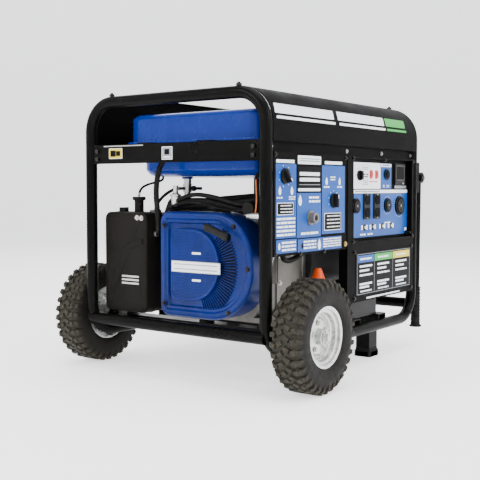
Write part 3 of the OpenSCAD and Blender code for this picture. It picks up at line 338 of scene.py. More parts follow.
def block(at, size):  # a plain box, its size applied
    clear()
    bpy.ops.mesh.primitive_cube_add(size=1, location=at, scale=size)
    bpy.ops.object.transform_apply(location=True, rotation=True, scale=True)
    return started()


def rounded(corners, steps=8):  # outline through corners (a, b, radius), each corner an arc
    shape, count = [], len(corners)
    for i, (a, b, radius) in enumerate(corners):
        here = Vector((a, b))
        before = (Vector(corners[i - 1][:2]) - here).normalized()
        after = (Vector(corners[(i + 1) % count][:2]) - here).normalized()
        half = before.angle(after) / 2
        centre = here + (before + after).normalized() * radius / math.sin(half)
        reach = radius / math.tan(half)
        start, end = here + before * reach - centre, here + after * reach - centre
        shape += [centre + start.slerp(end, k / steps) * radius for k in range(steps + 1)]
    return shape


def oblong(left, right, low, high, radius):
    return [(left, low, radius), (right, low, radius), (right, high, radius), (left, high, radius)]


def inside(shape, a, b):
    hit = False
    for i in range(len(shape)):
        p, q = shape[i - 1], shape[i]
        if (p[1] > b) != (q[1] > b) and a < (q[0] - p[0]) * (b - p[1]) / (q[1] - p[1]) + p[0]:
            hit = not hit
    return hit


def slab(shape, plane, start, depth):  # a filled outline in that plane, pushed along the third axis
    clear()
    bpy.ops.mesh.primitive_circle_add(vertices=len(shape), radius=0.1, fill_type="NGON")
    piece = started()
    for point, (a, b) in zip(piece.data.vertices, shape):
        point.co = dict(yz=(start, a, b), xz=(a, start, b), xy=(a, b, start))[plane]
    edit(piece)
    push = dict(yz=(depth, 0, 0), xz=(0, depth, 0), xy=(0, 0, depth))[plane]
    bpy.ops.mesh.extrude_region_move(TRANSFORM_OT_translate={"value": push})
    bpy.ops.mesh.select_all(action="SELECT")
    bpy.ops.mesh.normals_make_consistent(inside=False)
    return piece


def facing(axis, sign):
    return lambda f: f.normal[axis] * sign > 0.9


def insets(*steps):  # rings inside the selected face: (width, rise) each
    for width, rise in steps:
        bpy.ops.mesh.inset(thickness=width, depth=rise)


def inkIndex(piece, ink):
    names = [m.name for m in piece.data.materials]
    if ink not in names:
        piece.data.materials.append(finishes[ink])
        names.append(ink)
    return names.index(ink)


def colourPicked(piece, ink):  # the selected faces take that finish
    piece.active_material_index = inkIndex(piece, ink)
    bpy.ops.object.material_slot_assign()


# a closed section (radius, across) swung once round an axis
def turned(section, centre, steps, axis=(0, 1, 0)):
    clear()
    bpy.ops.mesh.primitive_circle_add(vertices=len(section), radius=0.01, fill_type="NOTHING")
    piece = started()
    across = Vector(axis)
    outwards = Vector((1, 0, 0)) if abs(across[0]) < 0.5 else Vector((0, 0, 1))
    for point, (radius, shift) in zip(piece.data.vertices, section):
        point.co = Vector(centre) + outwards * radius + across * shift
    edit(piece)
    bpy.ops.mesh.spin(steps=steps, angle=2 * math.pi, center=centre, axis=axis)
    bpy.ops.mesh.select_all(action="SELECT")
    bpy.ops.mesh.remove_doubles(threshold=0.00002)
    bpy.ops.mesh.normals_make_consistent(inside=False)
    return piece


def repeatRound(centre, count, axis=(0, 1, 0)):  # copies of what is selected, around an axis
    bpy.ops.mesh.spin(steps=count - 1, angle=2 * math.pi * (count - 1) / count, center=centre, axis=axis,
                      dupli=True)


def merged(pieces):
    clear()
    for piece in pieces:
        piece.select_set(True)
    bpy.context.view_layer.objects.active = pieces[0]
    bpy.ops.object.join()
    return bpy.context.object


sheetTurn = dict(front=(math.pi / 2, 0, 0), end=(math.pi / 2, 0, -math.pi / 2), back=(math.pi / 2, 0, math.pi),
                 top=(0, 0, 0), far=(math.pi / 2, 0, math.pi / 2))
sheetOut = dict(front=Vector((0, -1, 0)), end=Vector((-1, 0, 0)), back=Vector((0, 1, 0)), top=Vector((0, 0, 1)),
                far=Vector((1, 0, 0)))


inkThick = 0.0003


def stamp(piece, side, at, width, height, ink, thick=inkThick, corner=0.0006, kind="bar", tilt=0.0):
    # a thin printed mark on a face that looks to that side; piece is in edit mode
    turn = sheetTurn[side]
    if kind == "bar":
        bpy.ops.mesh.primitive_plane_add(size=1, location=at, rotation=turn)
    else:
        bpy.ops.mesh.primitive_circle_add(vertices=16 if kind == "drop" else 20, radius=0.5, fill_type="NGON",
                                          location=at, rotation=turn)
    wide, tall = dict(front=(0, 2), back=(0, 2), end=(1, 2), far=(1, 2), top=(0, 1))[side]
    bpy.ops.mesh.select_mode(type="VERT")
    mesh = bmesh.from_edit_mesh(piece.data)
    for v in [v for v in mesh.verts if v.select]:
        a, b = v.co[wide] - at[wide], v.co[tall] - at[tall]
        if kind == "drop" and b > 0:  # narrowed towards a tip
            a, b = a * (1 - 3 * b * b), b * 1.3
        v.co[wide] = at[wide] + a * width + tilt * b * height
        v.co[tall] = at[tall] + b * height
    bmesh.update_edit_mesh(piece.data)
    if kind == "bar" and corner:
        bpy.ops.mesh.bevel(offset=min(corner, 0.45 * width, 0.45 * height), segments=3, affect="VERTICES")
    bpy.ops.mesh.select_mode(type="FACE")
    colourPicked(piece, ink)
    bpy.ops.mesh.extrude_region_move(TRANSFORM_OT_translate={"value": sheetOut[side] * thick})


def emptySheet():  # an empty mesh in edit mode, ready for marks or screws
    clear()
    bpy.ops.mesh.primitive_plane_add(size=0.01)
    piece = started()
    edit(piece)
    bpy.ops.mesh.delete(type="VERT")
    return piece


def tidyNormals(piece):
    edit(piece)
    bpy.ops.mesh.normals_make_consistent(inside=False)


# flanged heads, added in edit mode
def boltHeads(piece, side, places, radius, high, ink="zincSteel", sides=6):
    out = sheetOut[side]
    for at in places:
        base = Vector(at)
        for r, n, rise, top in ((radius * 1.5, 20, 0.0, high * 0.25), (radius, sides, high * 0.25, high)):
            bpy.ops.mesh.primitive_cylinder_add(vertices=n, radius=r, depth=top - rise, location=base
                                                + out * (rise + top) / 2,
                                                rotation=sheetTurn[side])
            bpy.ops.mesh.select_mode(type="FACE")
            colourPicked(piece, ink)
            mesh = bmesh.from_edit_mesh(piece.data)
            for face in [f for f in mesh.faces if f.select]:
                face.select_set(face.normal.dot(out) > 0.9)
            bmesh.update_edit_mesh(piece.data)
            bpy.ops.mesh.inset(thickness=r * 0.18, depth=(top - rise) * 0.12)


# a smooth tube guided by the points
def pipe(name, points, radius, finish, body, sides=4, keep=False):
    line = bpy.data.curves.new(name, "CURVE")
    line.dimensions, line.bevel_depth, line.bevel_resolution, line.resolution_u = "3D", radius, sides, 8
    line.use_fill_caps = True
    spline = line.splines.new("NURBS")
    spline.points.add(len(points) - 1)
    for knot, at in zip(spline.points, points):
        knot.co = (*at, 1)
    spline.order_u, spline.use_endpoint_u = 4, True
    tube = bpy.data.objects.new(name, line)
    bpy.context.scene.collection.objects.link(tube)
    clear()
    tube.select_set(True)
    bpy.context.view_layer.objects.active = tube
    bpy.ops.object.convert(target="MESH")
    tube = bpy.context.object
    return tube if keep else settle(tube, name, finish, body, smooth=50)


# blower and recoil cover
blower = dict(y=-0.066, z=0.276, back=-0.2655, front=-0.3335, left=0.133, right=0.140, top=0.119, low=0.130,
              lip=0.0048, ribs=100)
by, bz = blower["y"], blower["z"]
body = slab(rounded([(by + blower["left"], bz - blower["low"], 0.026),
                     (by + blower["left"], bz + blower["top"], 0.026),
                     (by - blower["right"], bz + blower["top"], 0.111),
                     (by - blower["right"], bz - blower["low"], 0.122)], 16),
            "yz", blower["back"], blower["front"] - blower["back"])
edit(body, facing(0, -1))
insets((0.005, blower["lip"]), (0.010, 0.0008), (0.004, -0.0045), (0.0055, 0), (0.0035, -0.0055))
trough = blower["front"] + 0.0044
edit(body, lambda e: abs(middle(e)[0] - blower["front"]) < 0.0003 or abs(middle(e)[0] - blower["front"]
        + blower["lip"]) < 0.0003, "EDGE")
bpy.ops.mesh.bevel(offset=0.0022, segments=3)
edit(body, lambda f: f.normal[0] > 0.9)
bpy.ops.mesh.delete(type="FACE")
body.data.materials.append(finishes["blowerBlue"])

# raised island that carries the perforated field
island = rounded([(by + 0.096, bz - 0.089, 0.024), (by + 0.096, bz + 0.080, 0.024),
                  (by - 0.048, bz + 0.080, 0.078), (by - 0.048, bz - 0.089, 0.084)], 14)
raised = slab(island, "yz", trough + 0.002, -0.0135)
raised.data.materials.append(finishes["blowerBlue"])
edit(raised, facing(0, -1))
insets((0.0016, 0.0012), (0.0036, 0.0), (0.0014, -0.0028))
# the island's recessed floor under the mesh is painted shade
colourPicked(raised, "holeShadeAndScreenBlack")
edit(raised, lambda e: abs(middle(e)[0] - (trough - 0.0115)) < 0.0002, "EDGE")
bpy.ops.mesh.bevel(offset=0.0012, segments=2)

# the perforated field: a lattice of small square cells, each with its own hole whose shallow floor is painted
# shade
lattice = dict(pitch=0.0049, cells=52, face=trough - 0.0119, y=by + 0.008, z=bz - 0.011, margin=0.955)
clear()
bpy.ops.mesh.primitive_grid_add(x_subdivisions=lattice["cells"], y_subdivisions=lattice["cells"],
                                size=lattice["cells"] * lattice["pitch"])
mesh = started()
turn = math.radians(45)
for point in mesh.data.vertices:
    a, b = point.co[0], point.co[1]
    point.co = (lattice["face"], lattice["y"] - (a * math.cos(turn) - b * math.sin(turn)),
                lattice["z"] + a * math.sin(turn) + b * math.cos(turn))
heart = Vector((lattice["y"], lattice["z"]))
fieldEdge = [heart + (p - heart) * lattice["margin"] for p in island]
edit(mesh, lambda f: not inside(fieldEdge, middle(f)[1], middle(f)[2]))
bpy.ops.mesh.delete(type="FACE")
mesh.data.materials.append(finishes["blowerBlue"])
edit(mesh)
bpy.ops.mesh.inset(thickness=0.0011, depth=0.0, use_individual=True)
bpy.ops.mesh.inset(thickness=0.0004, depth=-0.0009, use_individual=True)
# each cell's hole floor is painted shade
colourPicked(mesh, "holeShadeAndScreenBlack")

# louvre ribs round the outer side, over a thin dark ring of painted shade that fills the gaps between them; both
# keep only the sector below the grip
hub = (trough - 0.0004, by + 0.028, bz - 0.006)
louvreSector = (-77.4, 48.6)


def offSector(at):
    angle = math.degrees(math.atan2(at[2] - hub[2], hub[1] - at[1]))
    return not louvreSector[0] < angle < louvreSector[1]


# painted shade: a thin flat dark ring seen between the ribs
ribGapShade = turned([(0.070, 0.0), (0.116, 0.0), (0.116, -0.0008), (0.070, -0.0008)], hub, 100, (1, 0, 0))
edit(ribGapShade, lambda v: offSector(v.co), "VERT")
bpy.ops.mesh.delete(type="VERT")
ribGapShade.data.materials.append(finishes["holeShadeAndScreenBlack"])
ribs = block((hub[0] - 0.0024, hub[1], hub[2] + 0.097), (0.0044, 0.0030, 0.048))
edit(ribs, lambda f: f.normal[0] < -0.9)
bpy.ops.transform.resize(value=(1, 0.6, 0.98))
edit(ribs, lambda e: not along(e, 0), "EDGE")
bpy.ops.mesh.bevel(offset=0.0005, segments=2)
edit(ribs)
repeatRound(hub, blower["ribs"], (1, 0, 0))
edit(ribs, lambda v: offSector(v.co), "VERT")
bpy.ops.mesh.delete(type="VERT")
ribs.data.materials.append(finishes["blowerBlue"])
blowerCover = merged([body, raised, mesh, ribGapShade, ribs])
settle(blowerCover, "blowerCover", "blowerBlue", "chassis", smooth=35,
       replaced=("blower_housing", "recoil_cover"))

# plain plate, two small marks and the cover's screws
plate = dict(y=-0.0475, z=0.267, w=0.146, h=0.027, face=trough - 0.0123)
badge = emptySheet()
stamp(badge, "end", (plate["face"], plate["y"], plate["z"]), plate["w"], plate["h"], "printGrey", 0.0012,
      0.0015)
stamp(badge, "end", (plate["face"] - 0.0012, plate["y"], plate["z"]), plate["w"] - 0.003, plate["h"] - 0.003,
      "printWhite", 0.0003, 0.001)
for drop in (0.0055, -0.0055):  # thin lines across the plate
    stamp(badge, "end", (plate["face"] - 0.0015, plate["y"], plate["z"] + drop), plate["w"] - 0.016, 0.0022,
          "printGrey", 0.0003, 0.0008)
for shift in (0.0235, -0.0395):
    stamp(badge, "end", (plate["face"] + 0.0002, by + 0.0165, bz + shift), 0.026, 0.0050, "printWhite", 0.0004,
          0.0015)
screwFace = blower["front"] - 0.0052
screwSpots = [(0.118, 0.086), (0.118, -0.1), (-0.128, -0.006), (-0.090, 0.088), (-0.074, -0.108)]
boltHeads(badge, "end", [(screwFace, by + a, bz + b) for a, b in screwSpots], 0.0042, 0.004, "blackZinc")
tidyNormals(badge)
settle(badge, "blowerMarks", "printWhite", "chassis")
print("blower done")

# wheels
tyre = dict(lugs=34, tread=0.1225, shoulder=0.0345)
lugRows = [  # across, length, width, twist in degrees, start as a share of a pitch
    (-0.0085, 0.0165, 0.0125, 28, 0), (0.0085, 0.0165, 0.0125, -28, 0.5),
    (-0.0245, 0.0125, 0.0145, -16, 0.25), (0.0245, 0.0125, 0.0145, 16, 0.75)]
rim = dict(bolts=5, boltRing=0.0305, boltTurn=0.4)
for side, sign in (("front", -1), ("back", 1)):
    centre = wheelCentre[side]
    cy = centre[1]
    section = [(0.0665, -0.0290), (0.0700, -0.0335), (0.078, -0.0372), (0.090, -0.0395), (0.1000, -0.0390),
               (0.1085, -0.0365), (0.1150, -0.0320),
               (0.1190, -0.0250), (0.1210, -0.0130), (0.1215, 0.0)]
    section = section + [(r, -a) for r, a in reversed(section[:-1])] + [(0.070, 0.024), (0.095, 0.030),
            (0.110, 0.022), (0.1125, 0.0), (0.110, -0.022), (0.095, -0.030), (0.070, -0.024)]
    carcass = turned(section, centre, 96)
    edit(carcass, lambda e: abs(middle(e)[1] - cy) > 0.0365 and 0.074 < math.hypot(middle(e)[0] - centre[0],
            middle(e)[2] - centre[2]) < 0.082 and abs(e.verts[0].co[1] - e.verts[1].co[1]) < 0.0002, "EDGE")
    bpy.ops.mesh.bevel(offset=0.0012, segments=2)
    rows = []
    for across, length, width, twist, start in lugRows:
        lug = block((centre[0], cy + across, centre[2] + tyre["tread"]), (width, length, 0.0085))
        edit(lug, facing(2, 1))
        bpy.ops.transform.resize(value=(0.72, 0.78, 1))
        edit(lug)
        bpy.ops.transform.rotate(value=math.radians(twist), orient_axis="Z",
                                 center_override=(centre[0], cy + across, centre[2] + 0.12))
        bpy.ops.transform.rotate(value=2 * math.pi / tyre["lugs"] * start, orient_axis="Y",
                                 center_override=centre)
        repeatRound(centre, tyre["lugs"])
        rows.append(lug)
    for s in (-1, 1):  # shoulder lugs, folded over the edge of the tread
        lug = block((centre[0], cy + s * tyre["shoulder"], centre[2] + 0.1165), (0.0125, 0.0075, 0.012))
        edit(lug, lambda f: f.normal[1] * s > 0.9)
        bpy.ops.transform.translate(value=(0, 0, -0.0045))
        bpy.ops.transform.resize(value=(0.7, 1, 0.75))
        edit(lug, lambda f: f.normal[2] < -0.6)
        bpy.ops.mesh.extrude_region_move(TRANSFORM_OT_translate={"value": (0, s * 0.0022, -0.009)})
        bpy.ops.transform.resize(value=(0.55, 0.6, 1))
        edit(lug)
        bpy.ops.transform.rotate(value=2 * math.pi / tyre["lugs"] * (0.5 + 0.25 * s), orient_axis="Y",
                                 center_override=centre)
        repeatRound(centre, tyre["lugs"])
        rows.append(lug)
    tread = merged([carcass] + rows)
    tidyNormals(tread)
    settle(tread, side + "TreadTyre", side + "TyreRubber", side + "_wheel", smooth=28,
           replaced=(side + "_tyre",))

    hub = turned([(0.0662, -0.0335), (0.0680, -0.0335), (0.0680, -0.0318), (0.0640, -0.0312), (0.0625, -0.0240),
                  (0.0560, -0.0225), (0.0540, -0.0130), (0.0520, -0.0115),
                  (0.0520, 0.0115), (0.0540, 0.0130), (0.0560, 0.0225), (0.0625, 0.0240), (0.0640, 0.0312),
                  (0.0680, 0.0318), (0.0680, 0.0335), (0.0662, 0.0335),
                  (0.0615, 0.0322), (0.0605, 0.0262), (0.0540, 0.0245), (0.0520, 0.0150), (0.0500, 0.0128),
                  (0.0500, -0.0128), (0.0520, -0.0150), (0.0540, -0.0245), (0.0605, -0.0262),
                  (0.0615, -0.0322)], centre, 72)
    face = sign * 0.006
    dish = turned([(0.0505, face - 0.001), (0.0440, face + sign * 0.001), (0.0380, face + sign * 0.006),
                   (0.0250, face + sign * 0.0075), (0.0165, face + sign * 0.0075),
                   (0.0165, face + sign * 0.0052),
                   (0.0250, face + sign * 0.0052), (0.0375, face + sign * 0.0038),
                   (0.0430, face - sign * 0.0012), (0.0505, face - sign * 0.0032)], centre, 72)
    barrel = turned([(0.0084, sign * 0.0295), (0.0162, sign * 0.0295), (0.0175, sign * 0.0280),
                     (0.0175, sign * 0.0170), (0.0190, sign * 0.0120), (0.0190, -sign * 0.0450),
                     (0.0084, -sign * 0.0450)], centre, 40)
    bolts = emptySheet()
    turns = [k * 2 * math.pi / rim["bolts"] + rim["boltTurn"] for k in range(rim["bolts"])]
    spots = [(centre[0] + rim["boltRing"] * math.cos(t), cy + face + sign * 0.0078,
              centre[2] + rim["boltRing"] * math.sin(t)) for t in turns]
    boltHeads(bolts, "front" if sign < 0 else "back", spots, 0.0044, 0.005, "zincSteel")
    wheel = merged([hub, dish, barrel])
    tidyNormals(wheel)
    settle(wheel, side + "WheelRim", "galvanised", side + "_wheel", smooth=30,
           replaced=(side + "_rim",))
    tidyNormals(bolts)
    settle(bolts, side + "RimBolts", "zincSteel", side + "_wheel")
print("wheels done")

# fuel tank
tank = dict(x0=-0.3045, x1=0.3075, half=0.208, seam=0.562, lip=0.012, lower=0.024)
upper = slab(rounded(oblong(tank["x0"], tank["x1"], -tank["half"], tank["half"], 0.044), 10), "xy",
             tank["seam"], 0.058)
edit(upper, facing(2, 1))
insets((0.0028, 0.0052), (0.0045, 0.0038), (0.007, 0.0026), (0.011, 0.0014))
for grow in (0.86, 0.7, 0.4):
    bpy.ops.mesh.extrude_region_move(TRANSFORM_OT_translate={"value": (0, 0, 0.0004)})
    bpy.ops.transform.resize(value=(grow, grow, 1))
edit(upper, facing(2, -1))
bpy.ops.mesh.delete(type="FACE")
lip = slab(rounded(oblong(tank["x0"] - tank["lip"], tank["x1"] + tank["lip"], -tank["half"] - tank["lip"],
                          tank["half"] + tank["lip"], 0.054), 10), "xy", tank["seam"] - 0.003, 0.006)
edit(lip, lambda e: abs(e.verts[0].co[2] - e.verts[1].co[2]) < 0.0001, "EDGE")
bpy.ops.mesh.bevel(offset=0.0014, segments=2)
lower = slab(rounded(oblong(tank["x0"] + tank["lower"], tank["x1"] - tank["lower"], -tank["half"]
                            + tank["lower"], tank["half"] - tank["lower"], 0.042), 10), "xy",
             tank["seam"] - 0.002, -0.062)
edit(lower, facing(2, -1))
insets((0.003, 0.006), (0.006, 0.0062), (0.010, 0.005), (0.014, 0.002))
neckSpot = (0.0375, -0.078, 0)
neck = turned([(0.0235, 0.630), (0.0265, 0.630), (0.0265, 0.6415), (0.0258, 0.6422), (0.0242, 0.6422),
               (0.0235, 0.6415)], neckSpot, 40, (0, 0, 1))
collar = turned([(0.026, 0.6325), (0.047, 0.6325), (0.045, 0.6350), (0.040, 0.6362), (0.026, 0.6362)], neckSpot,
                48, (0, 0, 1))
shellTop = merged([upper, neck, collar])
settle(shellTop, "tankTop", "tankBlue", "chassis", smooth=40, replaced=("tank_upper_shell",))
boss = turned([(0.0, 0.474), (0.014, 0.474), (0.014, 0.486), (0.0, 0.486)], (-0.2075, 0.088, 0), 24, (0, 0, 1))
shellLow = merged([lower, lip, boss])
settle(shellLow, "tankBottom", "tankBlue", "chassis", smooth=40, replaced=("tank_lower_shell",))
print("tank done")

# air cleaner
cleaner = dict(x0=-0.3465, x1=-0.2845, y0=0.102, y1=0.242, z0=0.146, z1=0.392)
box = slab(rounded(oblong(cleaner["y0"], cleaner["y1"], cleaner["z0"], cleaner["z1"], 0.017), 6), "yz",
           cleaner["x1"], cleaner["x0"] + 0.004 - cleaner["x1"])
edit(box, facing(0, -1))
insets((0.002, 0.0028), (0.0035, 0.0012), (0.012, 0))
edit(box, lambda e: not along(e, 0) and abs(middle(e)[0] - cleaner["x0"] - 0.004) < 0.0003, "EDGE")
bpy.ops.mesh.bevel(offset=0.0012, segments=2)
seamLine = slab(rounded(oblong(cleaner["y0"] - 0.0012, cleaner["y1"] + 0.0012, cleaner["z0"] - 0.0012,
                               cleaner["z1"] + 0.0012, 0.018), 6), "yz", cleaner["x0"] + 0.030, 0.004)
arc = turned([(0.1125, 0.001), (0.1135, -0.0006), (0.1165, -0.0021), (0.1220, -0.0026), (0.1265, -0.0019),
              (0.1295, -0.0004), (0.1305, 0.001)], (cleaner["x0"] - 0.0002, 0.106, 0.199), 96, (1, 0, 0))
shape = rounded(oblong(cleaner["y0"] + 0.010, cleaner["y1"] - 0.010, cleaner["z0"] + 0.02,
                       cleaner["z1"] - 0.012, 0.014), 6)
edit(arc, lambda f: not inside(shape, middle(f)[1], middle(f)[2]))
bpy.ops.mesh.delete(type="FACE")
neckPipe = turned([(0.0, 0.0), (0.0115, 0.0), (0.0115, 0.029), (0.0165, 0.030), (0.0165, 0.0375),
                   (0.0150, 0.0382), (0.0, 0.0382)], (-0.3125, 0.156, cleaner["z1"] - 0.0005), 28, (0, 0, 1))
cleanerBox = merged([box, seamLine, arc, neckPipe])
settle(cleanerBox, "airCleanerBox", "boxPlastic", "chassis", bevel=0, smooth=38,
       replaced=("air_cleaner",))
trim = emptySheet()
for drop in (0.0, 0.0085, 0.0170):  # three equal bars
    stamp(trim, "end", (cleaner["x0"] - 0.0001, 0.1545, 0.2345 - drop), 0.056, 0.0042, "zincSteel", 0.0012,
          0.001)
boltHeads(trim, "end", [(cleaner["x0"] + 0.001, 0.132, 0.379), (cleaner["x0"] + 0.001, 0.118, 0.378)], 0.0042,
          0.005)
tidyNormals(trim)
settle(trim, "airCleanerTrim", "zincSteel", "chassis")
print("air cleaner done")


# printed labels: rows of (left, right, low, high, ink, layer) in millimetres, X from the engine end
rowsStart = 0.3825


def marks(piece, face, rows, corner=0.0012):
    for left, right, low, high, ink, layer in rows:
        at = ((left + right) / 2000 - rowsStart, face - layer * inkThick, (low + high) / 2000)
        stamp(piece, "front", at, (right - left) / 1000, (high - low) / 1000, ink, inkThick, corner)


# lines of dashes that stand for small print
def wordRows(left, right, low, high, count, ink="printWhite", layer=1, fill=0.55):
    rows, pattern = [], (0.34, 0.22, 0.44, 0.28, 0.5, 0.18)
    for k in range(count):
        z = high - (k + 0.5) * (high - low) / count
        tall, x, n = fill * (high - low) / count, left, k
        while x < right - 3:
            wide = min(pattern[n % 6] * (right - left) * 0.8, right - x)
            rows.append((x, x + wide, z - tall / 2, z + tall / 2, ink, layer))
            x, n = x + wide + 2.4, n + 1
    return rows


def dialTicks(piece, face, centre, radius, count, start, sweep, size, ink="printWhite"):
    for k in range(count):
        turn = math.radians(start + sweep * k / max(count - 1, 1))
        at = (centre[0] + radius * math.cos(turn), face, centre[1] + radius * math.sin(turn))
        stamp(piece, "front", at, size, size, ink, inkThick, 0.0004, "dot")


fuelFace = -0.2741
fuelPrint = emptySheet()
marks(fuelPrint, fuelFace, [
    (36, 118, 341, 504, "printBlue", 0), (121, 225, 339, 440, "printBlue", 0),
                            (229, 337, 343, 504, "printBlue", 0),
    (38, 121, 308, 338, "printBlue", 0), (125, 322, 306, 336, "printBlue", 0),
                            (38, 110, 506, 513, "printWhite", 0),
    (242, 323, 507, 514, "printWhite", 0), (125, 224, 505, 524, "printWhite", 0),
                            (125, 225, 452, 499, "printBlack", 0),
    (126, 222, 444, 450.5, "printWhite", 0), (41, 106, 392, 419, "printWhite", 1),
                            (42.5, 104.5, 393.5, 417.5, "printBlack", 2),
    (240, 318, 351, 392, "printWhite", 1), (241.5, 316.5, 352.5, 390.5, "printBlack", 2),
                            (131, 218, 511, 513.5, "printGrey", 1), (131, 218, 516, 518.5, "printGrey", 1)])
marks(fuelPrint, fuelFace, wordRows(40, 113, 344, 388, 5) + wordRows(252, 312, 355, 389, 4, "printWhite", 3,
        0.3) +
      wordRows(54, 101, 395, 416, 3, "printWhite", 3, 0.3) + wordRows(60, 116, 311, 335, 3)
      + wordRows(150, 204, 311, 333, 3) +
      wordRows(236, 318, 311, 334, 4) + wordRows(138, 212, 343, 353, 1) + wordRows(172, 220, 416, 434, 2) +
      wordRows(40, 62, 427, 433, 1) + wordRows(88, 114, 424, 434, 2) + wordRows(238, 262, 450, 457, 1) +
      wordRows(300, 322, 450, 457, 1) + wordRows(268, 290, 468, 480, 2), 0.0005)
marks(fuelPrint, fuelFace, [(132, 218, 479, 487, "printWhite", 1), (132, 218, 466, 474, "printWhite", 1),
                            (130, 220, 458, 459.2, "printGrey", 1)], 0.002)
for x, z, tall, ink in ((0.052, 0.444, 0.017, "printWhite"), (0.1, 0.444, 0.017, "printWhite"),
                        (0.25, 0.466, 0.016, "printWhite"), (0.311, 0.466, 0.016, "printWhite"),
                        (0.134, 0.422, 0.022, "printWhite"), (0.218, 0.319, 0.022, "printWhite"),
                        (0.144, 0.320, 0.013, "printBlack"), (0.05, 0.323, 0.014, "printWhite")):
    stamp(fuelPrint, "front", (x - rowsStart, fuelFace - inkThick, z), tall * 0.62, tall, ink, 0.0003, 0,
          "drop")
dialTicks(fuelPrint, fuelFace - inkThick, (-0.3105, 0.477), 0.0235, 7, 200, 320, 0.0022)
dialTicks(fuelPrint, fuelFace - inkThick, (-0.0995, 0.421), 0.0235, 7, -20, 220, 0.0022)
tidyNormals(fuelPrint)
settle(fuelPrint, "fuelPanelPrint", "printBlue", "chassis")

powerFace = -0.2611
powerPrint = emptySheet()
marks(powerPrint, powerFace, [
    (405, 550, 449, 516, "printWhite", 0), (552, 614, 449, 516, "printBlue", 0),
                              (406, 714, 437.5, 446.5, "printWhite", 0),
    (406, 714, 325, 436, "printBlue", 0), (553, 612, 507, 515, "printWhite", 1),
                              (634, 704, 450, 457.5, "printGrey", 0)])
marks(powerPrint, powerFace, wordRows(412, 545, 438.5, 445.5, 1, "printGrey", 1, 0.5)
      + wordRows(560, 606, 508.5, 513.5, 1, "printBlue", 2) +
      wordRows(452, 482, 497, 505, 2, "printGrey", 1) + wordRows(452, 482, 458, 472, 3, "printGrey", 1)
      + wordRows(488, 538, 465, 470, 1, "redPlastic", 1) +
      wordRows(456, 482, 477, 489, 2, "printBlack", 1) + wordRows(565, 578, 452, 460, 2)
      + wordRows(586, 602, 452, 460, 2) +
      wordRows(576, 610, 356, 362, 1) + wordRows(480, 508, 328, 336, 1) + wordRows(440, 470, 328, 336, 1),
      0.0005)
for x in (0.4625, 0.508, 0.562, 0.612):
    for shift in (-0.0125, 0.0125):
        stamp(powerPrint, "front", (x + shift - rowsStart, powerFace - inkThick, 0.350), 0.009, 0.012,
              "printWhite", 0.0003, 0.001)
dialTicks(powerPrint, powerFace - inkThick, (0.0515, 0.483), 0.0185, 12, 0, 330, 0.0020, "printBlack")
dialTicks(powerPrint, powerFace - inkThick, (0.2065, 0.405), 0.0235, 24, 0, 345, 0.0016)
dialTicks(powerPrint, powerFace - inkThick, (0.2795, 0.403), 0.0305, 30, 0, 348, 0.0016)
stamp(powerPrint, "front", (0.3195, powerFace - inkThick, 0.337), 0.012, 0.009, "printWhite", 0.0003, 0.001)
tidyNormals(powerPrint)
settle(powerPrint, "powerPanelPrint", "printBlue", "chassis")

# rating plate: three columns of bars under coloured headings, in a thin frame
plateFace = -0.2771
ratingPrint = emptySheet()
marks(ratingPrint, plateFace, [
    (401, 487, 263, 281, "printBlue", 0), (490, 592, 263, 281, "printGreen", 0),
                               (595, 695, 263, 281, "printYellow", 0),
    (397, 697, 284, 285, "printGrey", 0), (397, 697, 183, 184, "printGrey", 0),
                               (396.5, 397.5, 183, 285, "printGrey", 0),
    (696.5, 697.5, 183, 285, "printGrey", 0), (488, 489, 186, 262, "printGrey", 0),
                               (593, 594, 186, 262, "printGrey", 0)], 0)
for left in (408, 504, 609):
    for low, high in ((240, 256), (198, 211)):
        marks(ratingPrint, plateFace, [(left + 2, left + 68, high - 5, high, "printWhite", 0),
                                       (left + 2, left + 52, low, low + 5, "printWhite", 0)], 0.001)
    marks(ratingPrint, plateFace, wordRows(left + 2, left + 70, 227, 235, 1, "printWhite", 0)
          + wordRows(left + 6, left + 66, 187, 193.5, 1, "printWhite", 0), 0.0006)
    marks(ratingPrint, plateFace, wordRows(left + 4, left + 64, 268, 276, 1, "printWhite", 1), 0.0006)
tidyNormals(ratingPrint)
settle(ratingPrint, "ratingPrint", "printWhite", "chassis")
fasciaPrint = emptySheet()
marks(fasciaPrint, -0.2761, wordRows(449, 638, 168.5, 173.5, 1, "printWhite", 0, 0.8), 0.0006)
tidyNormals(fasciaPrint)
settle(fasciaPrint, "fasciaPrint", "printWhite", "chassis")

# graphics wrapped over the curve of the front banner
curve = dict(radius=0.0861, low=0.588, face=-0.2781)
flatBand = emptySheet()
for left, right, low, high, ink in ((36, 286, 60, 84, "printWhite"), (36, 286, 48, 54, "printWhite"),
                                    (305, 546, 60, 84, "printWhite"),
                                    (305, 546, 48, 54, "printWhite"), (556, 670, 60, 84, "printGreen"),
                                    (556, 670, 48, 54, "printGreen")):
    at = ((left + right) / 2000 - rowsStart, curve["face"], 0.553 + (low + high) / 2000)
    stamp(flatBand, "front", at, (right - left) / 1000, (high - low) / 1000, ink, 0.0003, 0.002, tilt=0.3)
edit(flatBand)
for height in [curve["low"] + k * 0.006 for k in range(1, 10)]:
    bpy.ops.mesh.select_all(action="SELECT")
    bpy.ops.mesh.bisect(plane_co=(0, 0, height), plane_no=(0, 0, 1))
sheet = bmesh.from_edit_mesh(flatBand.data)
for v in sheet.verts:
    turn = (v.co[2] - curve["low"]) / curve["radius"]
    lift = -(v.co[1] - curve["face"])
    if turn > 0:
        reach = curve["radius"] + lift
        v.co[1] = curve["face"] + curve["radius"] - reach * math.cos(turn)
        v.co[2] = curve["low"] + reach * math.sin(turn)
bmesh.update_edit_mesh(flatBand.data)
tidyNormals(flatBand)
settle(flatBand, "bannerPrint", "printWhite", "chassis", smooth=20)

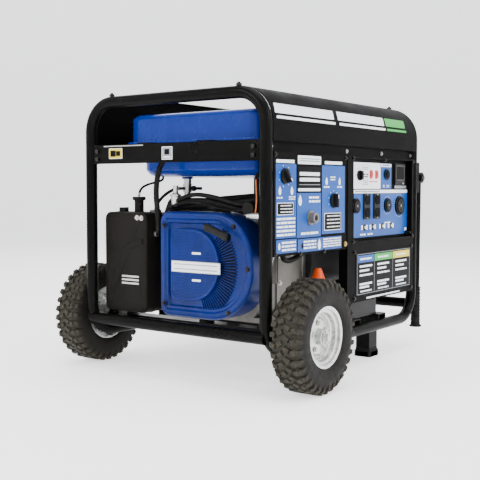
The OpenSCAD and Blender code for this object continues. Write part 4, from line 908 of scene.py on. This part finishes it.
# two plain labels, and a thin zinc stripe along the top edge that is a painted highlight of the bar's lit edge, on
# the engine-end cross bar
barFace = -0.3746
barPrint = emptySheet()
for y, z, wide, tall, ink, layer in ((0.175, 0.5345, 0.044, 0.025, "printWhite", 0),
                                     (0.175, 0.5345, 0.042, 0.023, "printYellow", 1),
                                     (0.183, 0.5345, 0.018, 0.015, "printBlack", 2),
                                     (0.166, 0.5345, 0.014, 0.012, "printBlack", 2),
                                     (0.010, 0.532, 0.032, 0.030, "printWhite", 0),
                                     (0.010, 0.532, 0.029, 0.027, "printGrey", 1),
                                     (0.010, 0.535, 0.015, 0.013, "printBlack", 2),
                                     (0.010, 0.523, 0.022, 0.003, "printWhite", 2),
                                     # painted highlight: a thin bright stripe along the bar's top edge
                                     (0.150, 0.5525, 0.130, 0.0022, "zincSteel", 0)):
    stamp(barPrint, "end", (barFace - layer * inkThick, y, z), wide, tall, ink, 0.0003, 0.0012)
tidyNormals(barPrint)
settle(barPrint, "crossBarPrint", "printWhite", "chassis")
print("prints done")

# screws that hold the panels, the banner and the fascia
screws = emptySheet()
screwGroups = [  # face, radius, height, finish, places
    (-0.2741, 0.0036, 0.0032, "blackZinc",
     [(-0.3475, 0.524), (-0.0405, 0.524), (-0.3475, 0.308), (-0.246, 0.3035), (-0.142, 0.3035)]),
    (-0.2741, 0.0042, 0.0036, "brassFitting", [(-0.0425, 0.315)]),
    (-0.2761, 0.0036, 0.0030, "blackZinc",
     [(-0.005, 0.524), (0.334, 0.524), (-0.005, 0.318), (0.334, 0.318), (0.165, 0.524)]),
    (-0.2772, 0.0034, 0.0030, "blackZinc", [(0.001, 0.291), (0.327, 0.291), (0.001, 0.176), (0.327, 0.176)]),
    (-0.2656, 0.0034, 0.0030, "zincSteel", [(-0.352, 0.541), (-0.022, 0.541), (0.1625, 0.541), (0.338, 0.541)])]
for face, radius, high, ink, places in screwGroups:
    boltHeads(screws, "front", [(x, face, z) for x, z in places], radius, high, ink)
tidyNormals(screws)
settle(screws, "panelScrews", "blackZinc", "chassis")

# knobs of the fuel panel: a skirted disc with a waisted pointer
knobRows = [  # name, place on the panel, body, carried-over part, turn of the pointer in degrees
    ("selectorKnob", (-0.3105, 0.477), "fuel_selector", "fuel_selector_knob", -48),
    ("shutoffKnob", (-0.0995, 0.421), "fuel_shutoff", "fuel_shutoff_knob", 90)]
for name, spot, body, node, points in knobRows:
    centre = (spot[0], -0.274, spot[1])
    skirt = turned([(0.0, -0.0004), (0.0172, -0.0004), (0.0178, -0.0012), (0.0174, -0.0040), (0.0160, -0.0052),
                    (0.0, -0.0056)], centre, 48)
    pointer = block((centre[0], -0.2840, centre[2]), (0.0330, 0.0092, 0.0098))
    edit(pointer, facing(1, -1))
    bpy.ops.transform.resize(value=(0.93, 1, 0.62))
    edit(pointer)
    bpy.ops.mesh.bevel(offset=0.0016, segments=3)
    line = emptySheet()
    stamp(line, "front", (centre[0] + 0.010, -0.2886, centre[2]), 0.009, 0.0022, "printWhite", 0.0003, 0.0006)
    for part in (pointer, line):
        edit(part)
        bpy.ops.transform.rotate(value=math.radians(points), orient_axis="Y", center_override=centre)
    shaft = turned([(0.0, 0.0), (0.004, 0.0), (0.004, 0.012), (0.0, 0.012)], centre, 20)
    for part in (skirt, pointer, shaft):
        part.data.materials.append(finishes["hardPlastic"])
    knob = merged([skirt, pointer, line, shaft])
    tidyNormals(knob)
    settle(knob, name, "hardPlastic", body, replaced=(node,))

# outlet faces: raised rims, recessed faces, and dark blade slots and holes that are painted shade
outlets = emptySheet()
for x, z in ((0.0895, 0.404), (0.1445, 0.404)):
    stamp(outlets, "front", (x, -0.2640, z), 0.0335, 0.0664, "hardPlastic", 0.0012, 0.003)
    for shift in (-0.0165, 0.0165):
        stamp(outlets, "front", (x, -0.2652, z + shift), 0.0265, 0.0245, "sheetBlack", 0.0010, 0.008)
        # slots and holes are flat dark marks of painted shade
        for a, b, w, h in ((-0.0055, 0.002, 0.0018, 0.0075), (0.0055, 0.002, 0.0018, 0.0062)):
            stamp(outlets, "front", (x + a, -0.2661, z + shift + b), w, h, "holeShadeAndScreenBlack", 0.0003, 0.0003)
        stamp(outlets, "front", (x, -0.2661, z + shift - 0.0065), 0.0042, 0.0042, "holeShadeAndScreenBlack", 0.0003, 0, "dot")
    for shift in (-0.0295, 0.0295):
        stamp(outlets, "front", (x, -0.2652, z + shift * 0.98), 0.0042, 0.0042, "zincSteel", 0.0008, 0, "dot")
for x, z, radius, blades in ((0.0325, 0.406, 0.019, 4), (0.2065, 0.405, 0.019, 3), (0.2795, 0.403, 0.026, 4)):
    for r, out, ink in ((radius, 0.0, "hardPlastic"), (radius * 0.86, 0.0010, "sheetBlack"),
                        (radius * 0.70, 0.0018, "hardPlastic")):
        stamp(outlets, "front", (x, -0.2650 - out, z), r * 2, r * 2, ink, 0.0010, 0, "dot")
    for k in range(blades):
        turn = math.radians(90 + k * 360 / blades)
        stamp(outlets, "front", (x + radius * 0.42 * math.cos(turn), -0.2677, z
                                 + radius * 0.42 * math.sin(turn)), radius * 0.34,
              radius * 0.12 if k % 2 else radius * 0.2, "holeShadeAndScreenBlack", 0.0003, 0.0004)
    stamp(outlets, "front", (x, -0.2677, z), radius * 0.2, radius * 0.2, "zincSteel", 0.0004, 0, "dot")
for r, out, ink in ((0.0150, 0.0, "hardPlastic"), (0.0105, 0.001, "sheetBlack"), (0.0062, 0.0018, "holeShadeAndScreenBlack")):
    stamp(outlets, "front", (0.2015, -0.2640 - out, 0.487), r * 2, r * 2, ink, 0.0010, 0, "dot")
tidyNormals(outlets)
settle(outlets, "outletFaces", "hardPlastic", "chassis", bevel=0.0003, segments=1)

# meter: framed dark window with a small tab below it
meter = dict(x=0.2765, z=0.488, face=-0.2640)
window = emptySheet()
stamp(window, "front", (meter["x"], meter["face"], meter["z"]), 0.060, 0.058, "hardPlastic", 0.0014, 0.003)
stamp(window, "front", (meter["x"], meter["face"] - 0.0014, meter["z"] + 0.003), 0.052, 0.044, "meterGlass",
      0.0006, 0.002)
stamp(window, "front", (meter["x"], meter["face"] - 0.0020, meter["z"] + 0.004), 0.044, 0.034, "holeShadeAndScreenBlack",
      0.0002, 0.0015)
stamp(window, "front", (meter["x"] + 0.018, meter["face"] - 0.0014, meter["z"] - 0.0245), 0.006, 0.004,
      "zincSteel", 0.0008, 0.001)
tidyNormals(window)
settle(window, "meterWindow", "meterGlass", "chassis")
print("panel fittings done")


# hoses over the engine, with their clamps
def clampRing(at, run, radius, wide=0.006):
    tilt = Vector((0, 0, 1)).rotation_difference(Vector(run)).to_euler()
    bpy.ops.mesh.primitive_cylinder_add(vertices=24, radius=radius + 0.0009, depth=wide, location=at,
                                        rotation=tilt)
    bpy.ops.mesh.select_mode(type="FACE")
    bpy.ops.mesh.bevel(offset=0.0004, segments=1)
    lug = Vector(run).orthogonal().normalized() * (radius + 0.0022)
    bpy.ops.mesh.primitive_cube_add(size=1, location=Vector(at) + lug, rotation=tilt,
                                    scale=(0.0055, 0.0055, wide))


def tubesOf(lines):  # one loose tube for each named (radius, points)
    return [pipe(name, points, radius, "softRubber", "chassis", 3, True)
            for name, (radius, points) in lines.items()]


hoses = dict(
    fuelLine=(0.004, [(-0.2378, 0.088, 0.450), (-0.246, 0.088, 0.450), (-0.258, 0.094, 0.447),
                      (-0.264, 0.120, 0.432), (-0.2545, 0.150, 0.410), (-0.2545, 0.154, 0.400),
                      (-0.2545, 0.154, 0.391)]),
    gasHose=(0.009, [(-0.1675, -0.2338, 0.440), (-0.1675, -0.218, 0.440), (-0.1705, -0.196, 0.439),
                     (-0.1865, -0.165, 0.434), (-0.2325, -0.078, 0.426), (-0.2600, 0.012, 0.417),
                     (-0.2625, 0.082, 0.404),
                     (-0.2505, 0.106, 0.380), (-0.2505, 0.120, 0.368), (-0.2505, 0.134, 0.368)]),
    balanceHose=(0.006, [(-0.2725, -0.2338, 0.430), (-0.2725, -0.220, 0.430), (-0.2755, -0.200, 0.429),
                         (-0.2865, -0.158, 0.421), (-0.2945, -0.078, 0.411), (-0.2905, 0.012, 0.409),
                         (-0.2825, 0.074, 0.400),
                         (-0.2745, 0.112, 0.366), (-0.2745, 0.122, 0.364), (-0.2745, 0.134, 0.364)]),
    breather=(0.007, [(-0.2807, 0.072, 0.528), (-0.2925, 0.072, 0.528), (-0.3065, 0.073, 0.525),
                      (-0.3225, 0.077, 0.508), (-0.3265, 0.086, 0.470), (-0.3255, 0.089, 0.430),
                      (-0.3205, 0.087, 0.390),
                      (-0.3175, 0.088, 0.356), (-0.3155, 0.092, 0.342), (-0.3155, 0.097, 0.340),
                      (-0.3155, 0.1018, 0.340)]),
    ventLine=(0.003, [(-0.3125, 0.156, 0.4302), (-0.3125, 0.156, 0.446), (-0.2965, 0.152, 0.460),
                      (-0.2445, 0.142, 0.468), (-0.2405, 0.140, 0.473), (-0.2405, 0.140, 0.4798)]))
hoseSet = merged(tubesOf(hoses))
settle(hoseSet, "engineHoses", "softRubber", "chassis", smooth=50, replaced=("fuel_hoses",))
clamps = emptySheet()
for at, run, radius in (((-0.2425, 0.088, 0.450), (1, 0, 0), 0.004),
                        ((-0.2545, 0.154, 0.3965), (0, 0, 1), 0.004),
                        ((-0.1675, -0.226, 0.440), (0, 1, 0), 0.009),
                        ((-0.2505, 0.127, 0.368), (0, 1, 0), 0.009),
                        ((-0.2725, -0.227, 0.430), (0, 1, 0), 0.006),
                        ((-0.2745, 0.128, 0.364), (0, 1, 0), 0.006),
                        ((-0.2865, 0.072, 0.528), (1, 0, 0), 0.007),
                        ((-0.3155, 0.0965, 0.340), (0, 1, 0), 0.007),
                        ((-0.3125, 0.156, 0.436), (0, 0, 1), 0.003)):
    clampRing(at, run, radius)
edit(clamps)
colourPicked(clamps, "zincSteel")
tidyNormals(clamps)
settle(clamps, "hoseClamps", "zincSteel", "chassis")

# wiring loom, sheathed leads and the strainer bowl between tank and engine
loom = dict(
    loomMain=(0.0085, [(-0.300, 0.062, 0.406), (-0.296, 0.030, 0.418), (-0.294, -0.020, 0.422),
                       (-0.296, -0.070, 0.416), (-0.292, -0.120, 0.404), (-0.280, -0.160, 0.396),
                       (-0.262, -0.190, 0.398), (-0.250, -0.2335, 0.405)]),
    loomUpper=(0.0055, [(-0.304, 0.056, 0.412), (-0.306, 0.010, 0.436), (-0.304, -0.040, 0.437),
                        (-0.304, -0.100, 0.424), (-0.296, -0.150, 0.410), (-0.280, -0.190, 0.412),
                        (-0.270, -0.2335, 0.416)]),
    leadThin=(0.0026, [(-0.310, 0.070, 0.400), (-0.316, 0.030, 0.416), (-0.318, -0.030, 0.420),
                       (-0.316, -0.090, 0.404), (-0.308, -0.140, 0.396), (-0.300, -0.175, 0.402)]),
    leadBack=(0.0030, [(-0.292, 0.080, 0.398), (-0.286, 0.040, 0.402), (-0.282, -0.010, 0.400),
                       (-0.284, -0.060, 0.398), (-0.290, -0.110, 0.3965)]))
tubes = tubesOf(loom)
tubes.append(turned([(0.0, -0.016), (0.0150, -0.016), (0.0165, -0.0135), (0.0165, 0.0135), (0.0150, 0.016),
                     (0.0, 0.016)], (-0.300, -0.178, 0.404), 32, (1, 0, 0)))
loomSet = merged(tubes)
tidyNormals(loomSet)
settle(loomSet, "wiringLoom", "softRubber", "chassis", smooth=50)
silver = turned([(0.0, -0.014), (0.0055, -0.014), (0.0095, -0.0105), (0.0110, -0.0020), (0.0112, 0.0100),
                 (0.0140, 0.0110), (0.0140, 0.0150), (0.0085, 0.0165), (0.0060, 0.0200),
                 (0.0060, 0.0300), (0.0075, 0.0310), (0.0075, 0.0360), (0.0, 0.0370)],
                (-0.3015, 0.0465, 0.4205), 32, (0, 0, 1))
plug = turned([(0.0, -0.020), (0.0062, -0.020), (0.0080, -0.0170), (0.0080, 0.0080), (0.0065, 0.0100),
               (0.0065, 0.0180), (0.0, 0.0190)], (-0.318, -0.198, 0.388), 28, (0, 1, 0))
silver = merged([silver, plug])
tidyNormals(silver)
settle(silver, "strainerBowl", "zincSteel", "chassis", smooth=40)
pipe("copperLead", [(-0.3205, -0.2045, 0.474), (-0.3215, -0.2050, 0.462), (-0.3200, -0.2060, 0.440),
                    (-0.3190, -0.2050, 0.415), (-0.3180, -0.2020, 0.400), (-0.3180, -0.2000, 0.390)], 0.0022,
     "copperWire", "chassis", 3)
pipe("leadSleeve", [(-0.2725, -0.234, 0.478), (-0.2925, -0.222, 0.482), (-0.3140, -0.208, 0.486),
                    (-0.3205, -0.2045, 0.480), (-0.3205, -0.2045, 0.470)], 0.0038, "softRubber", "chassis",
     3)
print("hoses and leads done")

# recoil grip: a moulded handle on its stem
gripSpot = (-0.3648, -0.128, 0.352)
bar = turned([(0.0, -0.036), (0.0068, -0.036), (0.0094, -0.0335), (0.0100, -0.029), (0.0088, -0.012),
              (0.0086, 0.012), (0.0100, 0.029), (0.0094, 0.0335), (0.0068, 0.036), (0.0, 0.036)], gripSpot, 36)
edit(bar)
bpy.ops.transform.rotate(value=math.radians(-20), orient_axis="X", center_override=gripSpot)
stem = turned([(0.0, -0.001), (0.0072, -0.001), (0.0070, 0.007), (0.0045, 0.0105), (0.0022, 0.0115),
               (0.0022, 0.085), (0.0, 0.085)], gripSpot, 24, (1, 0, 0))
grip = merged([bar, stem])
tidyNormals(grip)
settle(grip, "recoilHandle", "hardPlastic", "recoil_grip", smooth=40,
       replaced=("recoil_grip",))

# ribbed rubber grips of the folding handles
for side, sign in (("front", -1), ("back", 1)):
    low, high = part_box(side + "_handle_grip")
    mid = (low + high) / 2
    section = [(0.0122, -0.0560), (0.0165, -0.0560), (0.0172, -0.0548), (0.0172, -0.0532), (0.0165, -0.0520),
               (0.0140, -0.0512)]
    for k in range(11):
        z = -0.0480 + k * 0.0094
        section += [(0.0134, z), (0.0134, z + 0.0046), (0.0126, z + 0.0052), (0.0126, z + 0.0086)]
    section += [(0.0140, 0.0552), (0.0165, 0.0556), (0.0168, 0.0560), (0.0122, 0.0560)]
    sleeve = turned([(r, min(z, 0.0560)) for r, z in section], (0, 0, 0), 36, (0, 0, 1))
    edit(sleeve)
    bpy.ops.transform.translate(value=tuple(mid))
    settle(sleeve, side + "RibbedGrip", "softRubber", side + "_handle", smooth=40,
           replaced=(side + "_handle_grip",))
print("grips done")

# fuel cap with a knurled skirt and a bridge to turn it by
capSpot = (0.0375, -0.078, 0.0)
capTurn = turned([(0.0, 0.6420), (0.0240, 0.6420), (0.0240, 0.6360), (0.0365, 0.6360), (0.0382, 0.6372),
                  (0.0382, 0.6480), (0.0362, 0.6535), (0.0320, 0.6560), (0.0140, 0.6575), (0.0, 0.6578)],
                 capSpot, 48, (0, 0, 1))
rib = block((capSpot[0] + 0.0379, capSpot[1], 0.6425), (0.0022, 0.0026, 0.0105))
edit(rib, lambda f: f.normal[0] > 0.9)
bpy.ops.transform.resize(value=(1, 0.5, 0.85))
edit(rib)
repeatRound(capSpot, 40, (0, 0, 1))
bridge = block((capSpot[0], capSpot[1], 0.6574), (0.044, 0.010, 0.0016))
edit(bridge)
bpy.ops.mesh.bevel(offset=0.0006, segments=2)
cap = merged([capTurn, rib, bridge])
tidyNormals(cap)
settle(cap, "fuelCapKnurled", "hardPlastic", "fuel_cap", smooth=35, replaced=("fuel_cap",))

# rubber boots of the support legs
leg = dict(x=0.1775, y=0.218, wide=0.026, deep=0.024)
for side, sign in (("front", -1), ("back", 1)):
    x, y, wide, deep = leg["x"], sign * leg["y"], leg["wide"], leg["deep"]
    boot = slab(rounded(oblong(x - wide, x + wide, y - deep, y + deep, 0.006), 6), "xy", 0.0, 0.014)
    edit(boot, facing(2, 1))
    insets((0.0008, 0.0008), (0.0012, 0.0))
    bpy.ops.mesh.extrude_region_move(TRANSFORM_OT_translate={"value": (0, 0, 0.008)})
    bpy.ops.transform.resize(value=(0.97, 0.97, 1))
    settle(boot, side + "LegBoot", "softRubber", "chassis", bevel=0.0006, segments=2)
print("small parts done")


# muffler: pressed shell with rolled seams, a slotted guard whose slots are dark marks of painted shade, and a tail
# pipe collar
can = dict(x0=-0.0825, x1=0.0975, y0=0.130, y1=0.242, z0=0.286, z1=0.416, corner=0.040)
shellMain = slab(rounded(oblong(can["y0"] + 0.001, can["y1"] - 0.001, can["z0"] + 0.001, can["z1"] - 0.001,
                                can["corner"]), 10), "yz", can["x0"], can["x1"] - can["x0"])
for way in (-1, 1):
    edit(shellMain, facing(0, way))
    insets((0.004, 0.0), (0.003, -0.0025), (0.012, 0.0), (0.004, 0.0014))
shellMain.data.materials.append(finishes["exhaustBlack"])
parts = [shellMain]
for x in (can["x0"] + 0.0005, can["x1"] - 0.0045):
    seam = slab(rounded(oblong(can["y0"], can["y1"], can["z0"], can["z1"], can["corner"] + 0.001), 10), "yz", x,
                0.004)
    edit(seam, lambda e: not along(e, 0), "EDGE")
    bpy.ops.mesh.bevel(offset=0.0009, segments=2)
    parts.append(seam)
inlet = turned([(0.0, -0.1200), (0.0165, -0.1200), (0.0165, -0.0300), (0.0, -0.0300)],
               (can["x0"] + 0.0310, 0.154, 0.368), 32, (1, 0, 0))
tail = turned([(0.0120, -0.003), (0.0170, -0.003), (0.0170, 0.0010), (0.0140, 0.0018), (0.0120, 0.0018)],
              (can["x1"] - 0.0016, 0.192, 0.351), 32, (1, 0, 0))
# the guard's slots: flat dark marks of painted shade
guardSlotShade = emptySheet()
for z in (0.335, 0.346, 0.357, 0.368):
    for k in range(9):
        stamp(guardSlotShade, "back", (can["x0"] + 0.020 + k * 0.0175, can["y1"] - 0.0011, z), 0.0115, 0.0048,
              "holeShadeAndScreenBlack", 0.0003, 0.0022)
for part in parts[1:] + [inlet, tail]:
    part.data.materials.append(finishes["exhaustBlack"])
shell = merged(parts + [inlet, tail, guardSlotShade])
tidyNormals(shell)
settle(shell, "mufflerShell", "exhaustBlack", "chassis", smooth=38, replaced=("muffler",))

# bolts of the alternator's end bell: the outer ring and the bearing cover
bell = dict(x=0.2404, y=-0.066, z=0.276)


def ringSpots(radius, angles):
    return [(bell["x"], bell["y"] + radius * math.cos(math.radians(a)), bell["z"]
             + radius * math.sin(math.radians(a)))
            for a in angles]


rear = emptySheet()
boltHeads(rear, "far", ringSpots(0.106, (45, 135, 225, 315)), 0.0048, 0.0045, "zincSteel")
boltHeads(rear, "far", ringSpots(0.028, (0, 120, 240)), 0.003, 0.003, "zincSteel")
tidyNormals(rear)
settle(rear, "endBellBolts", "zincSteel", "chassis")
print("rear parts done")


# what shows under the fuel panel: crankcase fins, a cover with its bolts, a hose and a thin metal line
casing = dict(face=-0.170, left=-0.262, right=-0.070, low=0.150, high=0.300)
cover = slab(rounded(oblong(casing["left"] + 0.070, casing["right"], casing["low"], casing["high"], 0.02), 6),
             "xz", casing["face"] + 0.001, -0.006)
edit(cover, facing(1, -1))
insets((0.003, 0.001), (0.006, 0.0), (0.002, -0.0015))
fins = emptySheet()
for k in range(9):
    stamp(fins, "front", (casing["left"] + 0.006 + k * 0.0074, casing["face"] + 0.001, 0.262), 0.0028, 0.074,
          "castMetal", 0.013, 0.0008)
cover.data.materials.append(finishes["castMetal"])
casting = merged([cover, fins])
tidyNormals(casting)
settle(casting, "crankcaseCover", "castMetal", "chassis", bevel=0.0004, segments=1)
heads = emptySheet()
boltHeads(heads, "front", [(x, casing["face"] - 0.006, z) for x,
                           z in ((-0.182, 0.290), (-0.130, 0.292), (-0.080, 0.290), (-0.182, 0.160),
                                 (-0.080, 0.160), (-0.182, 0.225), (-0.080, 0.225))], 0.0044, 0.0042,
          "zincSteel")
tidyNormals(heads)
settle(heads, "crankcaseBolts", "zincSteel", "chassis")
pipe("lowerHose", [(-0.262, -0.236, 0.318), (-0.258, -0.232, 0.296), (-0.240, -0.226, 0.284),
                   (-0.205, -0.222, 0.282), (-0.170, -0.220, 0.289), (-0.142, -0.224, 0.304),
                   (-0.138, -0.236, 0.320)], 0.0065, "softRubber", "chassis", 3)
pipe("thinLine", [(-0.292, -0.236, 0.320), (-0.289, -0.231, 0.300), (-0.284, -0.225, 0.280),
                  (-0.276, -0.210, 0.266), (-0.268, -0.190, 0.262), (-0.262, -0.172, 0.262)], 0.0022,
     "zincSteel", "chassis", 3)
print("underside of the panel done")


# studio
studio = dict(floorRadius=5.5, bend=2.5, wall=4.5)
clear()
bpy.ops.mesh.primitive_circle_add(vertices=96, radius=studio["floorRadius"], fill_type="NGON")
floor = started()
edit(floor, lambda e: True, "EDGE")
for step in range(1, 9):
    turn = step * math.pi / 16
    grow = (studio["floorRadius"] + studio["bend"] * math.sin(turn)) / (studio["floorRadius"]
            + studio["bend"] * math.sin(turn - math.pi / 16))
    rise = studio["bend"] * (math.cos(turn - math.pi / 16) - math.cos(turn))
    bpy.ops.mesh.extrude_edges_move(TRANSFORM_OT_translate={"value": (0, 0, rise)})
    bpy.ops.transform.resize(value=(grow, grow, 1))
bpy.ops.mesh.extrude_edges_move(TRANSFORM_OT_translate={"value": (0, 0, studio["wall"])})
bpy.ops.mesh.select_all(action="SELECT")
bpy.ops.mesh.normals_make_consistent(inside=True)
clear()
floor.select_set(True)
bpy.ops.object.shade_smooth_by_angle(angle=math.radians(40))
floor.name = "studioFloor"
floor.data.materials.append(finishes["floorPaintedGlow"])

world = bpy.data.worlds.new("studioWorld")
bpy.context.scene.world = world
world.use_nodes = True
world.node_tree.nodes["Background"].inputs[0].default_value = (0.95, 0.965, 1.0, 1)
world.node_tree.nodes["Background"].inputs[1].default_value = 1.0

lamps = [  # name, place, aimed at, size, strength
    ("overhead", (-0.3, -0.4, 3.1), (0, 0, 0.3), 2.6, 92),
    ("leftBox", (-2.9, 0.9, 1.9), (-0.2, 0, 0.4), 1.6, 44),
    ("rightBox", (0.6, -3.3, 2.0), (0, -0.1, 0.3), 1.8, 58),
    ("backRim", (2.2, 2.6, 2.6), (0, 0, 0.5), 2.0, 26),
]
for name, place, aim, size, strength in lamps:
    light = bpy.data.lights.new(name, "AREA")
    light.size, light.energy = size, strength
    lamp = bpy.data.objects.new(name, light)
    bpy.context.scene.collection.objects.link(lamp)
    lamp.location = place
    lamp.rotation_euler = (Vector(aim) - Vector(place)).to_track_quat("-Z", "Y").to_euler()
print("studio set up")
